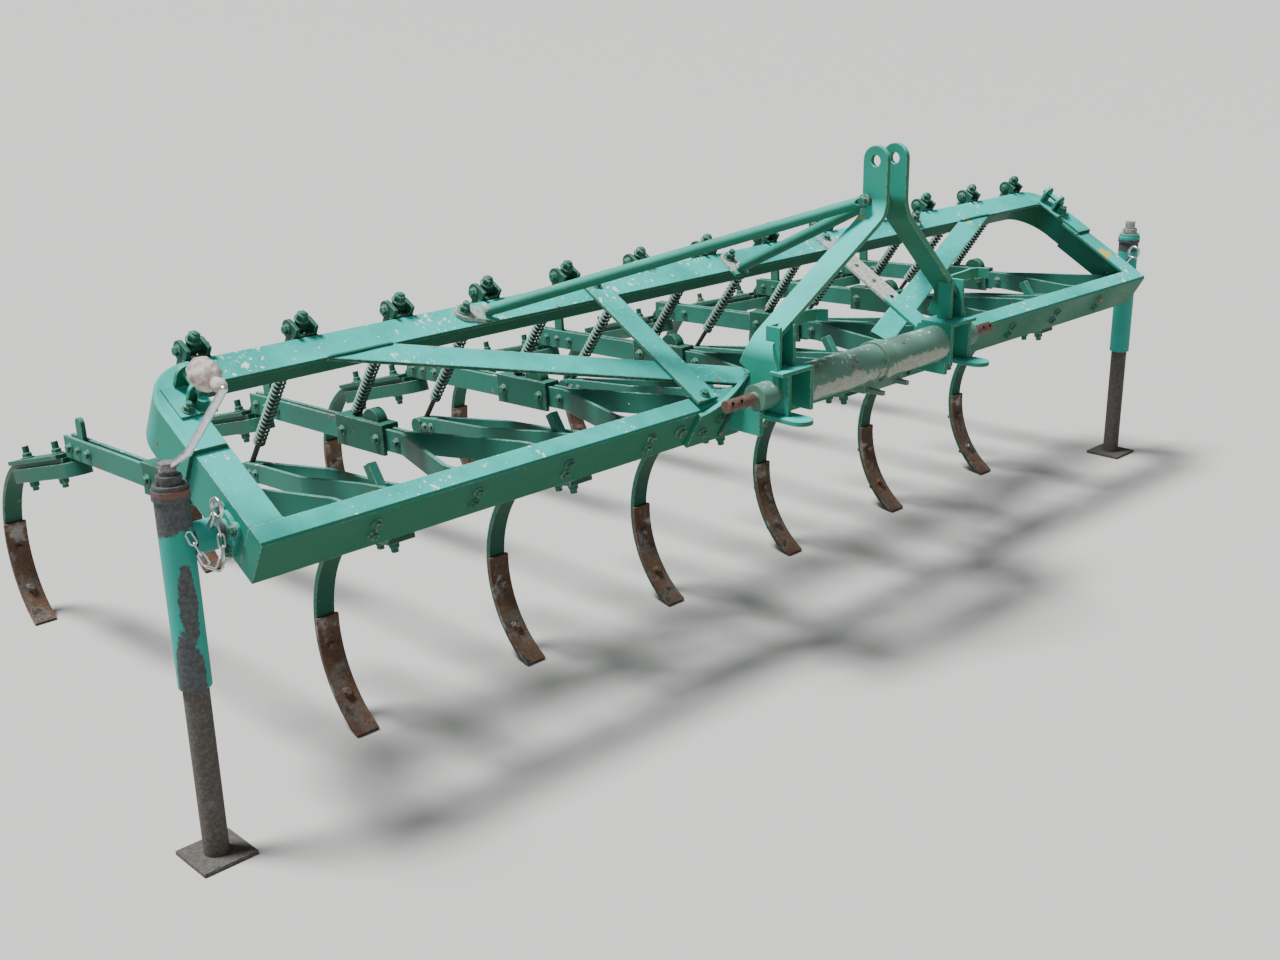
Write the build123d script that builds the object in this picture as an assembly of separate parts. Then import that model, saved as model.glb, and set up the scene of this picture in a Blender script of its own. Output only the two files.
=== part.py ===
from build123d import *
import os
from math import asin, atan2, cos, degrees, hypot, radians, sin

# Mounted field cultivator with spring held tines, standing on two screw jacks, in millimetres.
# X runs along the frame to the right, Y to the rear, Z up. While a piece is modelled, the origin is
# the middle of the front beam's top front edge; it is then moved to the top link hole.

# Frame, a flat rectangle whose rear is tilted up
frame_tilt = 30.0
frame_half = 1550.0
frame_depth = 466.0
front_tall = 100.0
front_flange = 45.0
front_wall = 8.0
rail_flange = 68.0
rear_tall = 105.0
rear_flange = 72.0
rear_wall = 9.0
corner_radius = 115.0
corner_start = 238.0
edge_chamfer = 5.0
floor_drop = 620.0

# Lugs on the rear corners
lug_from_side = 88.0
lug_from_rear = 148.0
lug_base_length = 73.0
lug_base_depth = 84.0
lug_base_wall = 5.0
lug_ear_width = 40.0
lug_ear_wall = 8.0
lug_ear_tall = 50.0
lug_ear_place = 28.0
lug_side = 8.0
lug_boss_radius = 10.0
lug_boss_tall = 24.0

# Flat stays
stay_width = 60.0
stay_wall = 8.0
stay_rear_x = 1100.0
stay_slope = 0.4
stay_front_y = 56.0
cross_stay_x = 425.0
cross_stay_width = 65.0
cross_stay_wall = 8.0
cross_hole_radius = 8.0
cross_hole_places = (168.0, 236.0, 304.0)

# Top link mast
mast_width = 66.0
mast_wall = 12.0
mast_gap = 58.0
top_link_y = -142.0
top_link_z = 515.0
top_link_radius = 13.0
mast_bend_z = 398.0
mast_knee_x = 361.0
mast_knee_y = -84.0
mast_knee_z = 150.0
mast_foot_z = -60.0
mast_foot_reach = 26.0
mast_bend_radius = 70.0
gusset_wall = 10.0
gusset_reach = 100.0
gusset_top = 100.0

# Mast braces, round tube on flat pads
brace_radius = 13.5
brace_wall = 4.0
brace_pad_length = 62.0
brace_pad_width = 44.0
brace_pad_wall = 9.0
brace_pin_radius = 9.0
brace_pin_length = 116.0
brace_pin_y = -126.0
brace_pin_z = 428.0
brace_ends = {"left": (-812.0, 32.0), "middle": (32.0, 38.0), "right": (830.0, 36.0)}

# Lower hitch
link_pin_radius = 14.0
link_pin_tip = 499.0
link_pin_y = -113.5
link_pin_z = 42.0
link_pin_holes = (11.0, 39.0)
cross_tube_radius = 44.5
cross_tube_wall = 6.0
boss_radius = 30.0
boss_length = 58.0
bracket_outer = 349.0
bracket_width = 86.0
bracket_wall = 10.0
bracket_reach = 46.0
cover_wall = 8.0
upright_width = 54.0
upright_depth = 40.0
upright_wall = 7.0
upright_top = 190.0
strap_tall = 26.0
strap_wall = 7.0
strap_route = ((-5.0, 0.0), (56.0, 5.0), (96.0, 12.0), (120.0, 4.0), (130.0, -20.0))
collar_x = 25.0
collar_width = 34.0
collar_radius = 50.0
peg_z = -8.0
peg_tall = 10.0
peg_width = 20.0
peg_places = ((-30.0, 66.0), (82.0, 52.0))
tab_width = 56.0
tab_wall = 10.0
tab_front = -216.0
tab_back = 20.0

# Tines, every second one on a long arm
tine_count = 13
tine_end_room = 126.8
pivot_y = 78.0
pivot_z = -30.0
shaft_radius = 10.0
pivot_lug_width = 18.0
bar_wall = 8.0
long_slope = 2.6
long_bar_tall = 50.0
long_bar_gap = 10.0
long_bar_length = 985.0
wishbone_start = 345.0
wishbone_end = 60.0
lug_room = 0.6
seat_rod = 562.0
seat_ahead = 162.0
seat_behind = 23.0
seat_width = 44.0
seat_wall = 10.0
seat_hump = 30.0
seat_hump_place = 55.0
stop_place = 73.0
stop_tall = 50.0
stop_low = 20.0
stop_radius = 15.0
short_slope = 7.5
short_bar_tall = 42.0
short_bar_length = 600.0
short_bar_gap = 16.0
short_bar_belly = 330.0
short_bar_belly_gap = 64.0
short_bar_neck = 130.0
short_bar_neck_gap = 20.0
short_end_radius = 20.0
short_end_width = 40.0
finger_place = 95.0

# Tine leaf, its point, and the clamps that hold it
leaf_width = 45.0
leaf_wall = 12.0
point_width = 55.0
point_wall = 8.0
point_length = 290.0
blade_short = 30.0
holder_width = 64.0
holder_slope = 15.5
holder_lap = 22.0
holder_drop = 12.0
holder_length = 350.0
holder_plate = 10.0
holder_body = 33.0
holder_bolt_radius = 8.0
holder_bolt_places = (110.0, 300.0)
rear_belly = (460.0, -400.0)
rear_tip = 375.0
tip_rise = 14.0
front_clamp = (50.0, 225.0)
front_clamp_tall = 49.0
front_bend = 148.0
front_belly = (425.0, -330.0)
front_tip = 330.0

# Spring rods behind the rear beam
rod_radius = 6.0
rod_reach = 28.0
rod_place_z = 8.0
rod_top = 40.0
long_rod_end = 41.0
short_rod_end = 10.0
spring_radius = 13.5
spring_groove = 4.0
spring_turns = 22
spring_start = 16.0
long_spring_end = 55.0
short_spring_end = 92.0
ear_gap = 36.0
ear_wall = 8.0
ear_radius = 20.0
ear_low = -34.0
trunnion_radius = 11.0

# Screw jacks on pipe mounts
jack_reach = 97.0
jack_y = 115.5
jack_z = 0.0
jack_tube_radius = 30.0
jack_tube_wall = 6.0
jack_tube_top = 102.0
jack_cap_wall = 8.0
jack_tube_bottom = -270.0
jack_rim_radius = 33.0
jack_rim_tall = 18.0
jack_leg_gap = 0.3
jack_leg_wall = 4.0
jack_overlap = 88.0
jack_foot_half = 55.0
jack_foot_wall = 8.0
stub_radius = 24.0
stub_wall = 4.0
stub_gap = 0.3
sleeve_wall = 5.0
sleeve_length = 44.0
sleeve_lap = 4.0
flange_radius = 38.0
flange_wall = 8.0
lobe_radius = 13.0
lobe_count = 4
hub_radius = 15.0
hub_tall = 46.0
hub_foot_radius = 22.0
hub_foot_tall = 16.0
hub_pin_radius = 5.0
hub_pin_length = 46.0
hub_pin_drop = 30.0
crank_drop = 12.0
crank_radius = 7.0
crank_steps = ((18.0, -46.0, 34.0), (57.0, -120.0, 150.0), (57.0, -22.0, 173.0))
grip_profile = (
    (2.0, 8.0), (9.0, 12.0), (20.0, 12.0), (28.0, 10.0),
    (38.0, 19.5), (52.0, 25.0), (74.0, 25.0), (88.0, 18.0), (95.0, 9.0),
)
lock_pin_radius = 6.0
lock_pin_place = 14.0
lock_pin_rise = 34.0
lock_pin_lean = 38.0
lock_ring_radius = 17.0
lock_ring_wire = 3.5

slide_gap = 0.5
fit_gap = 0.3
far = 5000.0
tine_pitch = 2 * (frame_half - tine_end_room) / (tine_count - 1)
rod_place = frame_depth + rod_reach
wishbone_spread = tine_pitch / 2 - pivot_lug_width / 2 - bar_wall / 2 - lug_room
seat_start = seat_rod - seat_ahead
seat_end = seat_rod + seat_behind
jack_x = frame_half + jack_reach
axes_tilt = Rot(X=frame_tilt)
move_home = Pos(0, -top_link_y, -top_link_z)
nodes = {}


def keep(name, *shapes):
    """Store the solids of one named piece."""
    nodes[name] = list(shapes)


def span(x, y, z):
    """Box between the low and high value of each axis."""
    size = Box(x[1] - x[0], y[1] - y[0], z[1] - z[0])
    return Pos((x[0] + x[1]) / 2, (y[0] + y[1]) / 2, (z[0] + z[1]) / 2) * size


def side_plate(points, low_x, wall):
    """Plate in the YZ plane from an outline of (y, z) points."""
    face = make_face(Plane.YZ * Polyline(*points, close=True))
    return Pos(low_x, 0, 0) * extrude(face, wall, dir=(1, 0, 0))


def plan_plate(points, low_z, wall):
    """Plate in the XY plane from an outline of (x, y) points."""
    face = make_face(Polyline(*points, close=True))
    return Pos(0, 0, low_z) * extrude(face, wall, dir=(0, 0, 1))


def round_bar(start, end, radius):
    """Cylinder from one point to another."""
    start, end = Vector(*start), Vector(*end)
    place = Plane(origin=start, z_dir=end - start)
    low = (Align.CENTER, Align.CENTER, Align.MIN)
    return place * Cylinder(radius, (end - start).length, align=low)


def pipe(start, end, radius, wall):
    """Hollow cylinder from one point to another."""
    return round_bar(start, end, radius) - round_bar(start, end, radius - wall)


def cross_bar(x, y, z, radius, width):
    """Cylinder along X about its middle."""
    return round_bar((x - width / 2, y, z), (x + width / 2, y, z), radius)


def flip(shape):
    """The same piece on the other side of the machine."""
    return mirror(shape, about=Plane.YZ)


def to_world(y, z):
    """(y, z) in the tilted frame as (y, z) in upright axes."""
    c, s = cos(radians(frame_tilt)), sin(radians(frame_tilt))
    return y * c - z * s, y * s + z * c


def to_frame(y, z):
    """(y, z) in upright axes as (y, z) in the tilted frame."""
    c, s = cos(radians(frame_tilt)), sin(radians(frame_tilt))
    return y * c + z * s, z * c - y * s


def front_frame():
    """Front channel and the two side rails that run back from it."""
    f, w, t = front_flange, front_wall, front_tall
    c = edge_chamfer
    outline = [(c, 0), (f, 0), (f, -w), (w, -w), (w, w - t), (f, w - t), (f, -t), (0, -t), (0, -c)]
    beam = side_plate(outline, -frame_half, 2 * frame_half)
    for side in (-1, 1):
        x = sorted((side * (frame_half - w), side * frame_half))
        beam += span(x, (0, f), (-t, -c)) + span(x, (c, f), (-t, 0))
    keep("front_beam", axes_tilt * beam)
    outer = frame_half
    end = corner_start + 60
    rail = span((outer - rail_flange, outer), (f, end), (-w, 0))
    rail += span((outer - w, outer), (f, end), (-t, 0))
    keep("side_rail_right", axes_tilt * rail)
    keep("side_rail_left", axes_tilt * flip(rail))


def corner_strip(width, low_z, tall, cut):
    """Strip of the given width inside the outer line of the right rear corner, its top edge broken."""
    xo = frame_half + rear_wall
    r = corner_radius
    r_in = r - width
    start, end = corner_start, frame_depth
    turn = sin(radians(45))
    mid_out = (xo - r + r * turn, end - r + r * turn)
    mid_in = (xo - r + r_in * turn, end - r + r_in * turn)
    line = Line((xo, start), (xo, end - r))
    line += ThreePointArc((xo, end - r), mid_out, (xo - r, end))
    line += Line((xo - r, end), (xo - r, end - width))
    line += ThreePointArc((xo - r, end - width), mid_in, (xo - width, end - r))
    line += Line((xo - width, end - r), (xo - width, start))
    line += Line((xo - width, start), (xo, start))
    strip = Pos(0, 0, low_z) * extrude(make_face(line), tall, dir=(0, 0, 1))
    if cut:
        top = strip.edges().filter_by_position(Axis.Z, low_z + tall - 0.1, low_z + tall + 0.1)
        outer = [e for e in top if e.center().X > xo - 0.1 or abs(e.length - r * radians(90)) < 0.1]
        strip = chamfer(outer, cut)
    return strip


def rear_frame():
    """Rear angle beam and its two round corners, one wall higher than the front."""
    d, w = frame_depth, rear_wall
    half = frame_half + w - corner_radius
    low = w - rear_tall
    c = edge_chamfer
    outline = [(d - rear_flange, 0), (d - rear_flange, w), (d - c, w), (d, w - c)]
    outline += [(d, low), (d - w, low), (d - w, 0)]
    keep("rear_beam", axes_tilt * side_plate(outline, -half, 2 * half))
    corner = axes_tilt * (corner_strip(rear_flange, 0, w, c) + corner_strip(w, low, rear_tall - w, 0))
    keep("rear_corner_right", corner)
    keep("rear_corner_left", flip(corner))


def corner_lugs():
    """Plate with two round topped ears, a pin through them and a boss, on each rear corner."""
    x0 = frame_half - lug_from_side
    y0 = frame_depth - lug_from_rear
    high = rear_wall + lug_base_wall
    plate = span((x0, x0 + lug_base_length), (y0, y0 + lug_base_depth), (rear_wall, high))
    half = lug_ear_width / 2
    middle = x0 + lug_side + half
    round_z = high + lug_ear_tall - half
    ears = (y0 + lug_ear_place, y0 + lug_base_depth - lug_ear_wall)
    for ear_y in ears:
        back = ear_y + lug_ear_wall
        plate += span((middle - half, middle + half), (ear_y, back), (high, round_z))
        plate += round_bar((middle, ear_y, round_z), (middle, back, round_z), half)
    pin_end = ears[1] + lug_ear_wall
    plate += round_bar((middle, ears[0] - 10, round_z), (middle, pin_end + 10, round_z), lug_ear_wall)
    boss_y = y0 + lug_boss_radius + 3
    plate += round_bar((middle, boss_y, high), (middle, boss_y, high + lug_boss_tall), lug_boss_radius)
    lugs = axes_tilt * plate
    keep("corner_lugs", lugs, flip(lugs))


def stays():
    """Two diagonal flat stays and two fore and aft ones that cross over them."""
    rear = frame_depth - rear_flange
    slope = stay_slope
    norm = hypot(1, slope)
    side_run = stay_width * norm / slope / 2
    back = stay_width / 2 / norm
    front_x = stay_rear_x - (rear - stay_front_y) / slope
    points = [(stay_rear_x + side_run, rear), (stay_rear_x - side_run, rear)]
    points += [(front_x - slope * back, stay_front_y + back)]
    points += [(front_x + slope * back, stay_front_y - back)]
    stay = axes_tilt * plan_plate(points, 0, stay_wall)
    keep("diagonal_stay_right", stay)
    keep("diagonal_stay_left", flip(stay))
    half = cross_stay_width / 2
    low = rear_wall
    for side, name in ((-1, "left"), (1, "right")):
        x = (side * cross_stay_x - half, side * cross_stay_x + half)
        bar = span(x, (15, frame_depth - 24), (low, low + cross_stay_wall))
        bar += span((x[0] + 8, x[1] - 8), (18, front_flange - 3), (0, low))
        if side > 0:
            for place in cross_hole_places:
                bar -= Pos(side * cross_stay_x, place, low) * Cylinder(cross_hole_radius, 40)
        keep("cross_stay_" + name, axes_tilt * bar)


def mast():
    """Two mast plates: upright ear, leg spread to the side, and wider foot on the front beam."""
    half_gap = mast_gap / 2
    half = mast_width / 2
    outer = half_gap + mast_wall
    high = top_link_z
    mid = mast_wall / 2
    bends = [(outer - mid, high), (outer - mid, mast_bend_z), (mast_knee_x - mid, mast_knee_z)]
    route = FilletPolyline(*bends, (mast_knee_x - mid, mast_foot_z), radius=mast_bend_radius)
    strip = extrude(Plane.XZ * trace(route, mast_wall), far / 2, both=True)
    y, knee_y = top_link_y, mast_knee_y
    front_y = link_pin_y - mast_foot_reach
    outline = [(y - half, high), (y - half, mast_bend_z), (knee_y - half, mast_knee_z)]
    outline += [(front_y, link_pin_z + 50), (front_y, link_pin_z - 10)]
    tab_y = link_pin_y + tab_back + 6
    outline += [(tab_y, link_pin_z - bracket_reach + 1), (tab_y, mast_foot_z)]
    outline += [(0, mast_foot_z), (0, link_pin_z), (knee_y + half, mast_knee_z)]
    outline += [(y + half, mast_bend_z), (y + half, high)]
    side = side_plate(outline, 0, mast_knee_x + mast_wall)
    side += round_bar((0, y, high), (mast_knee_x, y, high), half)
    plate = strip & side
    plate += cross_bar(half_gap + mid, y, high, half, mast_wall)
    plate -= cross_bar(0, y, high, top_link_radius, far)
    plate -= cross_bar(0, brace_pin_y, brace_pin_z, brace_pin_radius + fit_gap, far)
    plate -= axes_tilt * span((0, far), (-gusset_wall, far), (-far, gusset_top))
    plate -= cross_bar(mast_knee_x, link_pin_y, link_pin_z, boss_radius + fit_gap, 100)
    keep("mast_plate_right", plate)
    keep("mast_plate_left", flip(plate))


def mast_gussets():
    """Curved plates on the front face of the front beam under each mast foot."""
    x = mast_knee_x
    outer = x + gusset_reach
    inner = bracket_outer - bracket_width - 10
    low = -front_tall
    points = Line((inner, low), (outer, low))
    points += Line((outer, low), (outer, -4))
    points += ThreePointArc((outer, -4), (x + 36, 24), (x + 2, gusset_top))
    points += Line((x + 2, gusset_top), (x - 12, gusset_top))
    points += Line((x - 12, gusset_top), (inner, 14))
    points += Line((inner, 14), (inner, low))
    face = make_face(Plane.XZ * points)
    gusset = axes_tilt * extrude(face, gusset_wall, dir=(0, -1, 0))
    keep("mast_gussets", gusset, flip(gusset))


def braces():
    """Three round tubes from a pin through the mast to flat pads on the rear beam."""
    outer = mast_gap / 2 + mast_wall
    for side, (end_x, from_rear) in brace_ends.items():
        end_y = frame_depth - from_rear
        turn = {"left": -1, "middle": 0, "right": 1}[side]
        top = Vector(turn * (outer + 3), brace_pin_y, brace_pin_z)
        aim_y = to_frame(top.Y, top.Z)[0]
        lean = atan2(aim_y - end_y, top.X - end_x)
        reach = brace_pad_length - 17
        low_x, low_y = end_x + reach * cos(lean), end_y + reach * sin(lean)
        low = (low_x, *to_world(low_y, rear_wall + brace_radius))
        shape = pipe(tuple(top), low, brace_radius, brace_wall)
        half = brace_pad_width / 2
        wall = brace_pad_wall
        pad = Pos(0, 0, wall / 2) * Cylinder(half, wall)
        pad += span((0, brace_pad_length), (-half, half), (0, wall))
        pad = axes_tilt * Pos(end_x, end_y, rear_wall) * Rot(Z=degrees(lean)) * pad
        shape += pad
        shape -= cross_bar(0, brace_pin_y, brace_pin_z, brace_pin_radius + fit_gap, far)
        if turn:
            shape -= span((-outer, outer), (-far, 0), (brace_pin_z - 90, far))
            shape -= nodes["mast_plate_" + side][0]
        shape -= axes_tilt * span((-far, far), (frame_depth - 200, far), (-far, rear_wall))
        keep("brace_" + side, shape)
    keep("brace_pin", cross_bar(0, brace_pin_y, brace_pin_z, brace_pin_radius, brace_pin_length))


def hitch():
    """Cross tube, its end brackets and the link pins."""
    y, z = link_pin_y, link_pin_z
    outer = bracket_outer
    inner = outer - bracket_width
    tube = pipe((-inner, y, z), (inner, y, z), cross_tube_radius, cross_tube_wall)
    half = collar_width / 2
    hollow = cross_tube_radius - 1
    tube += pipe((collar_x - half, y, z), (collar_x + half, y, z), collar_radius, collar_radius - hollow)
    saddle = span((collar_x - 75, collar_x + 75), (y - 24, y + 24), (peg_z - peg_tall, z))
    for x, reach in peg_places:
        side = peg_width / 2
        root, tip = y + 10, y - reach
        outline = [(x - side, root), (x + side, root), (x + side / 2, tip), (x - side / 2, tip)]
        saddle += plan_plate(outline, peg_z - peg_tall, peg_tall)
    saddle -= round_bar((-inner, y, z), (inner, y, z), cross_tube_radius - 1)
    keep("cross_tube", tube + saddle)
    bracket = hitch_bracket(inner, outer)
    right = bracket + hitch_strap(outer)
    left = flip(bracket) + hitch_strap(upright_width - outer)
    keep("hitch_bracket_right", right - nodes["mast_plate_right"][0])
    keep("hitch_bracket_left", left - nodes["mast_plate_left"][0])
    tip = link_pin_tip
    pin = round_bar((outer, y, z), (outer + boss_length, y, z), boss_radius)
    pin += round_bar((outer, y, z), (tip, y, z), link_pin_radius)
    for place in link_pin_holes:
        pin -= Pos(tip - place, y, z) * Rot(X=60) * Cylinder(5, far)
    keep("link_pins", pin, flip(pin))
    half = tab_width / 2
    low = z - bracket_reach - tab_wall
    middle = outer - 8
    front = tab_front + half
    tab = span((middle - half, middle + half), (front, y + tab_back), (low, low + tab_wall))
    tab += Pos(middle, front, low + tab_wall / 2) * Cylinder(half, tab_wall)
    keep("hitch_tabs", tab, flip(tab))


def hitch_bracket(inner, outer):
    """Two cheeks that carry the cross tube, a cover plate and an upright channel."""
    y, z = link_pin_y, link_pin_z
    r, w = bracket_reach, bracket_wall
    outline = [(y - r, z - r), (y - r, z + r), (-40, z + r), (20, z), (0, z - r)]
    cheek = side_plate(outline, 0, w)
    bracket = Pos(inner, 0, 0) * cheek + Pos(outer - w, 0, 0) * cheek
    top = z + r
    bracket += span((inner, outer), (y - r, -70), (top, top + cover_wall))
    bracket += span((outer, outer + 20), (y - r, y - 9), (top, top + cover_wall))
    bracket -= axes_tilt * span((0, far), (-gusset_wall, far), (-far, far))
    half = upright_width / 2
    middle = outer - half
    depth = upright_depth / 2
    up = (top + cover_wall, upright_top)
    back = y + depth
    wall = upright_wall
    post = span((middle - half, middle + half), (y - depth, back), up)
    post -= span((middle - half + wall, middle + half - wall), (y - depth - 1, back - wall), up)
    return bracket + post


def hitch_strap(x):
    """Flat strap on edge behind an upright, curled forward at its end."""
    y = link_pin_y + upright_depth / 2 - strap_wall / 2
    route = [(x + along, y + back) for along, back in strap_route]
    return bar_strip(route, strap_wall, upright_top - strap_tall + 8, strap_tall)


def tine_x(index):
    """Sideways place of one tine, counted from the left."""
    return (index - (tine_count - 1) / 2) * tine_pitch


def bar_strip(points, wall, low_z, tall):
    """Upright flat bar along (x, y) points, mitred at its bends."""
    left, right = [], []
    last = len(points) - 1
    for i, (x, y) in enumerate(points):
        start, end = points[max(i - 1, 0)], points[i]
        if i == 0:
            end = points[1]
        turn_in = atan2(end[1] - start[1], end[0] - start[0])
        start, end = points[i], points[min(i + 1, last)]
        turn_out = turn_in if i == last else atan2(end[1] - start[1], end[0] - start[0])
        middle = (turn_in + turn_out) / 2
        reach = wall / 2 / cos((turn_out - turn_in) / 2)
        left.append((x - reach * sin(middle), y + reach * cos(middle)))
        right.append((x + reach * sin(middle), y - reach * cos(middle)))
    return plan_plate(left + right[::-1], low_z, tall)


def arm_place(index):
    """Place of an arm's own axes: the shaft, with Y along the arm."""
    slope = long_slope if is_long(index) else short_slope
    return Pos(tine_x(index), pivot_y, pivot_z) * Rot(X=-slope)


def is_long(index):
    """The outer tines and every second one between are on long arms."""
    return index % 2 == 0


def arm_bar(side, route, tall, eye_radius):
    """One side bar of an arm with a round eye for the shaft."""
    bar = bar_strip([(side * x, y) for x, y in route], bar_wall, -tall / 2, tall)
    bar += cross_bar(side * route[-1][0], 0, 0, eye_radius, bar_wall)
    return bar - cross_bar(0, 0, 0, shaft_radius + slide_gap, far)


def pivots():
    """Shaft for all the arms and the brackets that carry it between them."""
    end = frame_half - front_wall - slide_gap
    keep("pivot_shaft", cross_bar(0, pivot_y, pivot_z, shaft_radius, 2 * end))
    mid_y, mid_z = to_frame(pivot_y, pivot_z)
    brackets = []
    for index in range(tine_count - 1):
        x = tine_x(index) + tine_pitch / 2
        half = pivot_lug_width / 2
        lug = span((x - half, x + half), (front_wall + 8, mid_y), (mid_z - 20, mid_z + 20))
        lug += cross_bar(x, mid_y, mid_z, 20, pivot_lug_width)
        lug += span((x - 26, x + 26), (front_wall, front_wall + 8), (front_wall - front_tall, -28))
        lug -= cross_bar(x, mid_y, mid_z, shaft_radius + slide_gap, 100)
        brackets.append(axes_tilt * lug)
    keep("pivot_brackets", *brackets)


def long_arms():
    """Arms whose two bars part in front like a fork, with a spring seat and a stop."""
    left, right, seats, stops = [], [], [], []
    near = long_bar_gap / 2 + bar_wall / 2
    half = long_bar_tall / 2
    for index in range(0, tine_count, 2):
        place = arm_place(index)
        route = [(near, long_bar_length), (near, wishbone_start)]
        route += [(wishbone_spread, wishbone_end), (wishbone_spread, 0)]
        left.append(place * arm_bar(-1, route, long_bar_tall, half - 1))
        right.append(place * arm_bar(1, route, long_bar_tall, half - 1))
        inner, outer = near - bar_wall / 2, near + bar_wall / 2
        wide = seat_width / 2
        wall = seat_wall
        seat = span((outer, wide), (seat_start, seat_end), (-half - wall, half + wall))
        seat += flip(seat)
        seat += span((-wide, wide), (seat_start, seat_end), (half, half + wall))
        seat += cross_bar(0, seat_start + seat_hump_place, half + wall - 2, seat_hump, 2 * outer)
        seat -= span((-outer, outer), (seat_start - 40, seat_end + 40), (-far, half))
        seats.append(place * seat - rod_hole(index))
        round_z = half + stop_tall - stop_radius
        along = long_bar_length - stop_place
        stop = span((-inner, inner), (along - stop_radius, along + stop_radius), (-stop_low, round_z))
        stop += cross_bar(0, along, round_z, stop_radius, long_bar_gap)
        stops.append(place * stop)
    keep("long_bars_left", *left)
    keep("long_bars_right", *right)
    keep("spring_seats", *seats)
    keep("arm_stops", *stops)


def short_arms():
    """Arms whose bars bow apart between the rod end and the shaft."""
    left, right, ends, fingers = [], [], [], []
    half = short_bar_tall / 2
    rear = short_bar_gap / 2 + bar_wall / 2
    belly = short_bar_belly_gap / 2 + bar_wall / 2
    neck = short_bar_neck_gap / 2 + bar_wall / 2
    for index in range(1, tine_count, 2):
        place = arm_place(index)
        route = [(rear, short_bar_length), (rear, short_bar_length - 60)]
        route += [(belly, short_bar_belly), (neck, short_bar_neck), (neck, 0)]
        left.append(place * arm_bar(-1, route, short_bar_tall, half - 1))
        right.append(place * arm_bar(1, route, short_bar_tall, half - 1))
        inner = short_bar_gap / 2
        block = span((-inner, inner), (short_bar_length - 50, short_bar_length), (-half, half))
        block += cross_bar(0, short_bar_length + short_end_radius - 4, 0, short_end_radius, short_end_width)
        cut = span((inner, far), (0, short_bar_length), (-far, far))
        block -= cut + flip(cut)
        ends.append(place * block - rod_hole(index))
        inner = short_bar_neck_gap / 2
        y = finger_place
        outline = [(y - 17, -half), (y + 9, -half), (y + 13, 5), (y + 37, 55), (y + 19, 63), (y - 11, 5)]
        fingers.append(place * side_plate(outline, -inner, 2 * inner))
    keep("short_bars_left", *left)
    keep("short_bars_right", *right)
    keep("short_arm_ends", *ends)
    keep("arm_fingers", *fingers)


def circle_of(a, b, c):
    """Centre and radius of the circle through three (y, z) points."""
    d = 2 * (a[0] * (b[1] - c[1]) + b[0] * (c[1] - a[1]) + c[0] * (a[1] - b[1]))
    sa, sb, sc = (p[0] ** 2 + p[1] ** 2 for p in (a, b, c))
    y = (sa * (b[1] - c[1]) + sb * (c[1] - a[1]) + sc * (a[1] - b[1])) / d
    z = (sa * (c[0] - b[0]) + sb * (a[0] - c[0]) + sc * (b[0] - a[0])) / d
    return (y, z), hypot(a[0] - y, a[1] - z)


def arc_band(centre, low_r, high_r, from_deg, to_deg):
    """Face between two radii in the YZ plane, between two angles."""
    def at(r, deg):
        return centre[0] + r * cos(radians(deg)), centre[1] + r * sin(radians(deg))
    mid = (from_deg + to_deg) / 2
    line = ThreePointArc(at(high_r, from_deg), at(high_r, mid), at(high_r, to_deg))
    line += Line(at(high_r, to_deg), at(low_r, to_deg))
    line += ThreePointArc(at(low_r, to_deg), at(low_r, mid), at(low_r, from_deg))
    line += Line(at(low_r, from_deg), at(high_r, from_deg))
    return make_face(Plane.YZ * line)


def tine(x, top, belly, tip_y):
    """One curved leaf, and the point bolted to the front of its lower end."""
    centre, r = circle_of(top, belly, (tip_y, tip_rise - floor_drop))
    start = degrees(atan2(top[1] - centre[1], top[0] - centre[0]))
    half = leaf_wall / 2
    end = -degrees(asin((floor_drop + centre[1]) / (r - half)))
    face = arc_band(centre, r - half, r + half, start, end + degrees(blade_short / r))
    blade = Pos(x - leaf_width / 2, 0, 0) * extrude(face, leaf_width, dir=(1, 0, 0))
    low_r = r - half - point_wall
    face = arc_band(centre, low_r, r - half, end + degrees(point_length / r), end)
    shoe = Pos(x - point_width / 2, 0, 0) * extrude(face, point_width, dir=(1, 0, 0))
    ground = span((-far, far), (-far, far), (-far, -floor_drop))
    return blade - ground, shoe - ground


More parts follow.
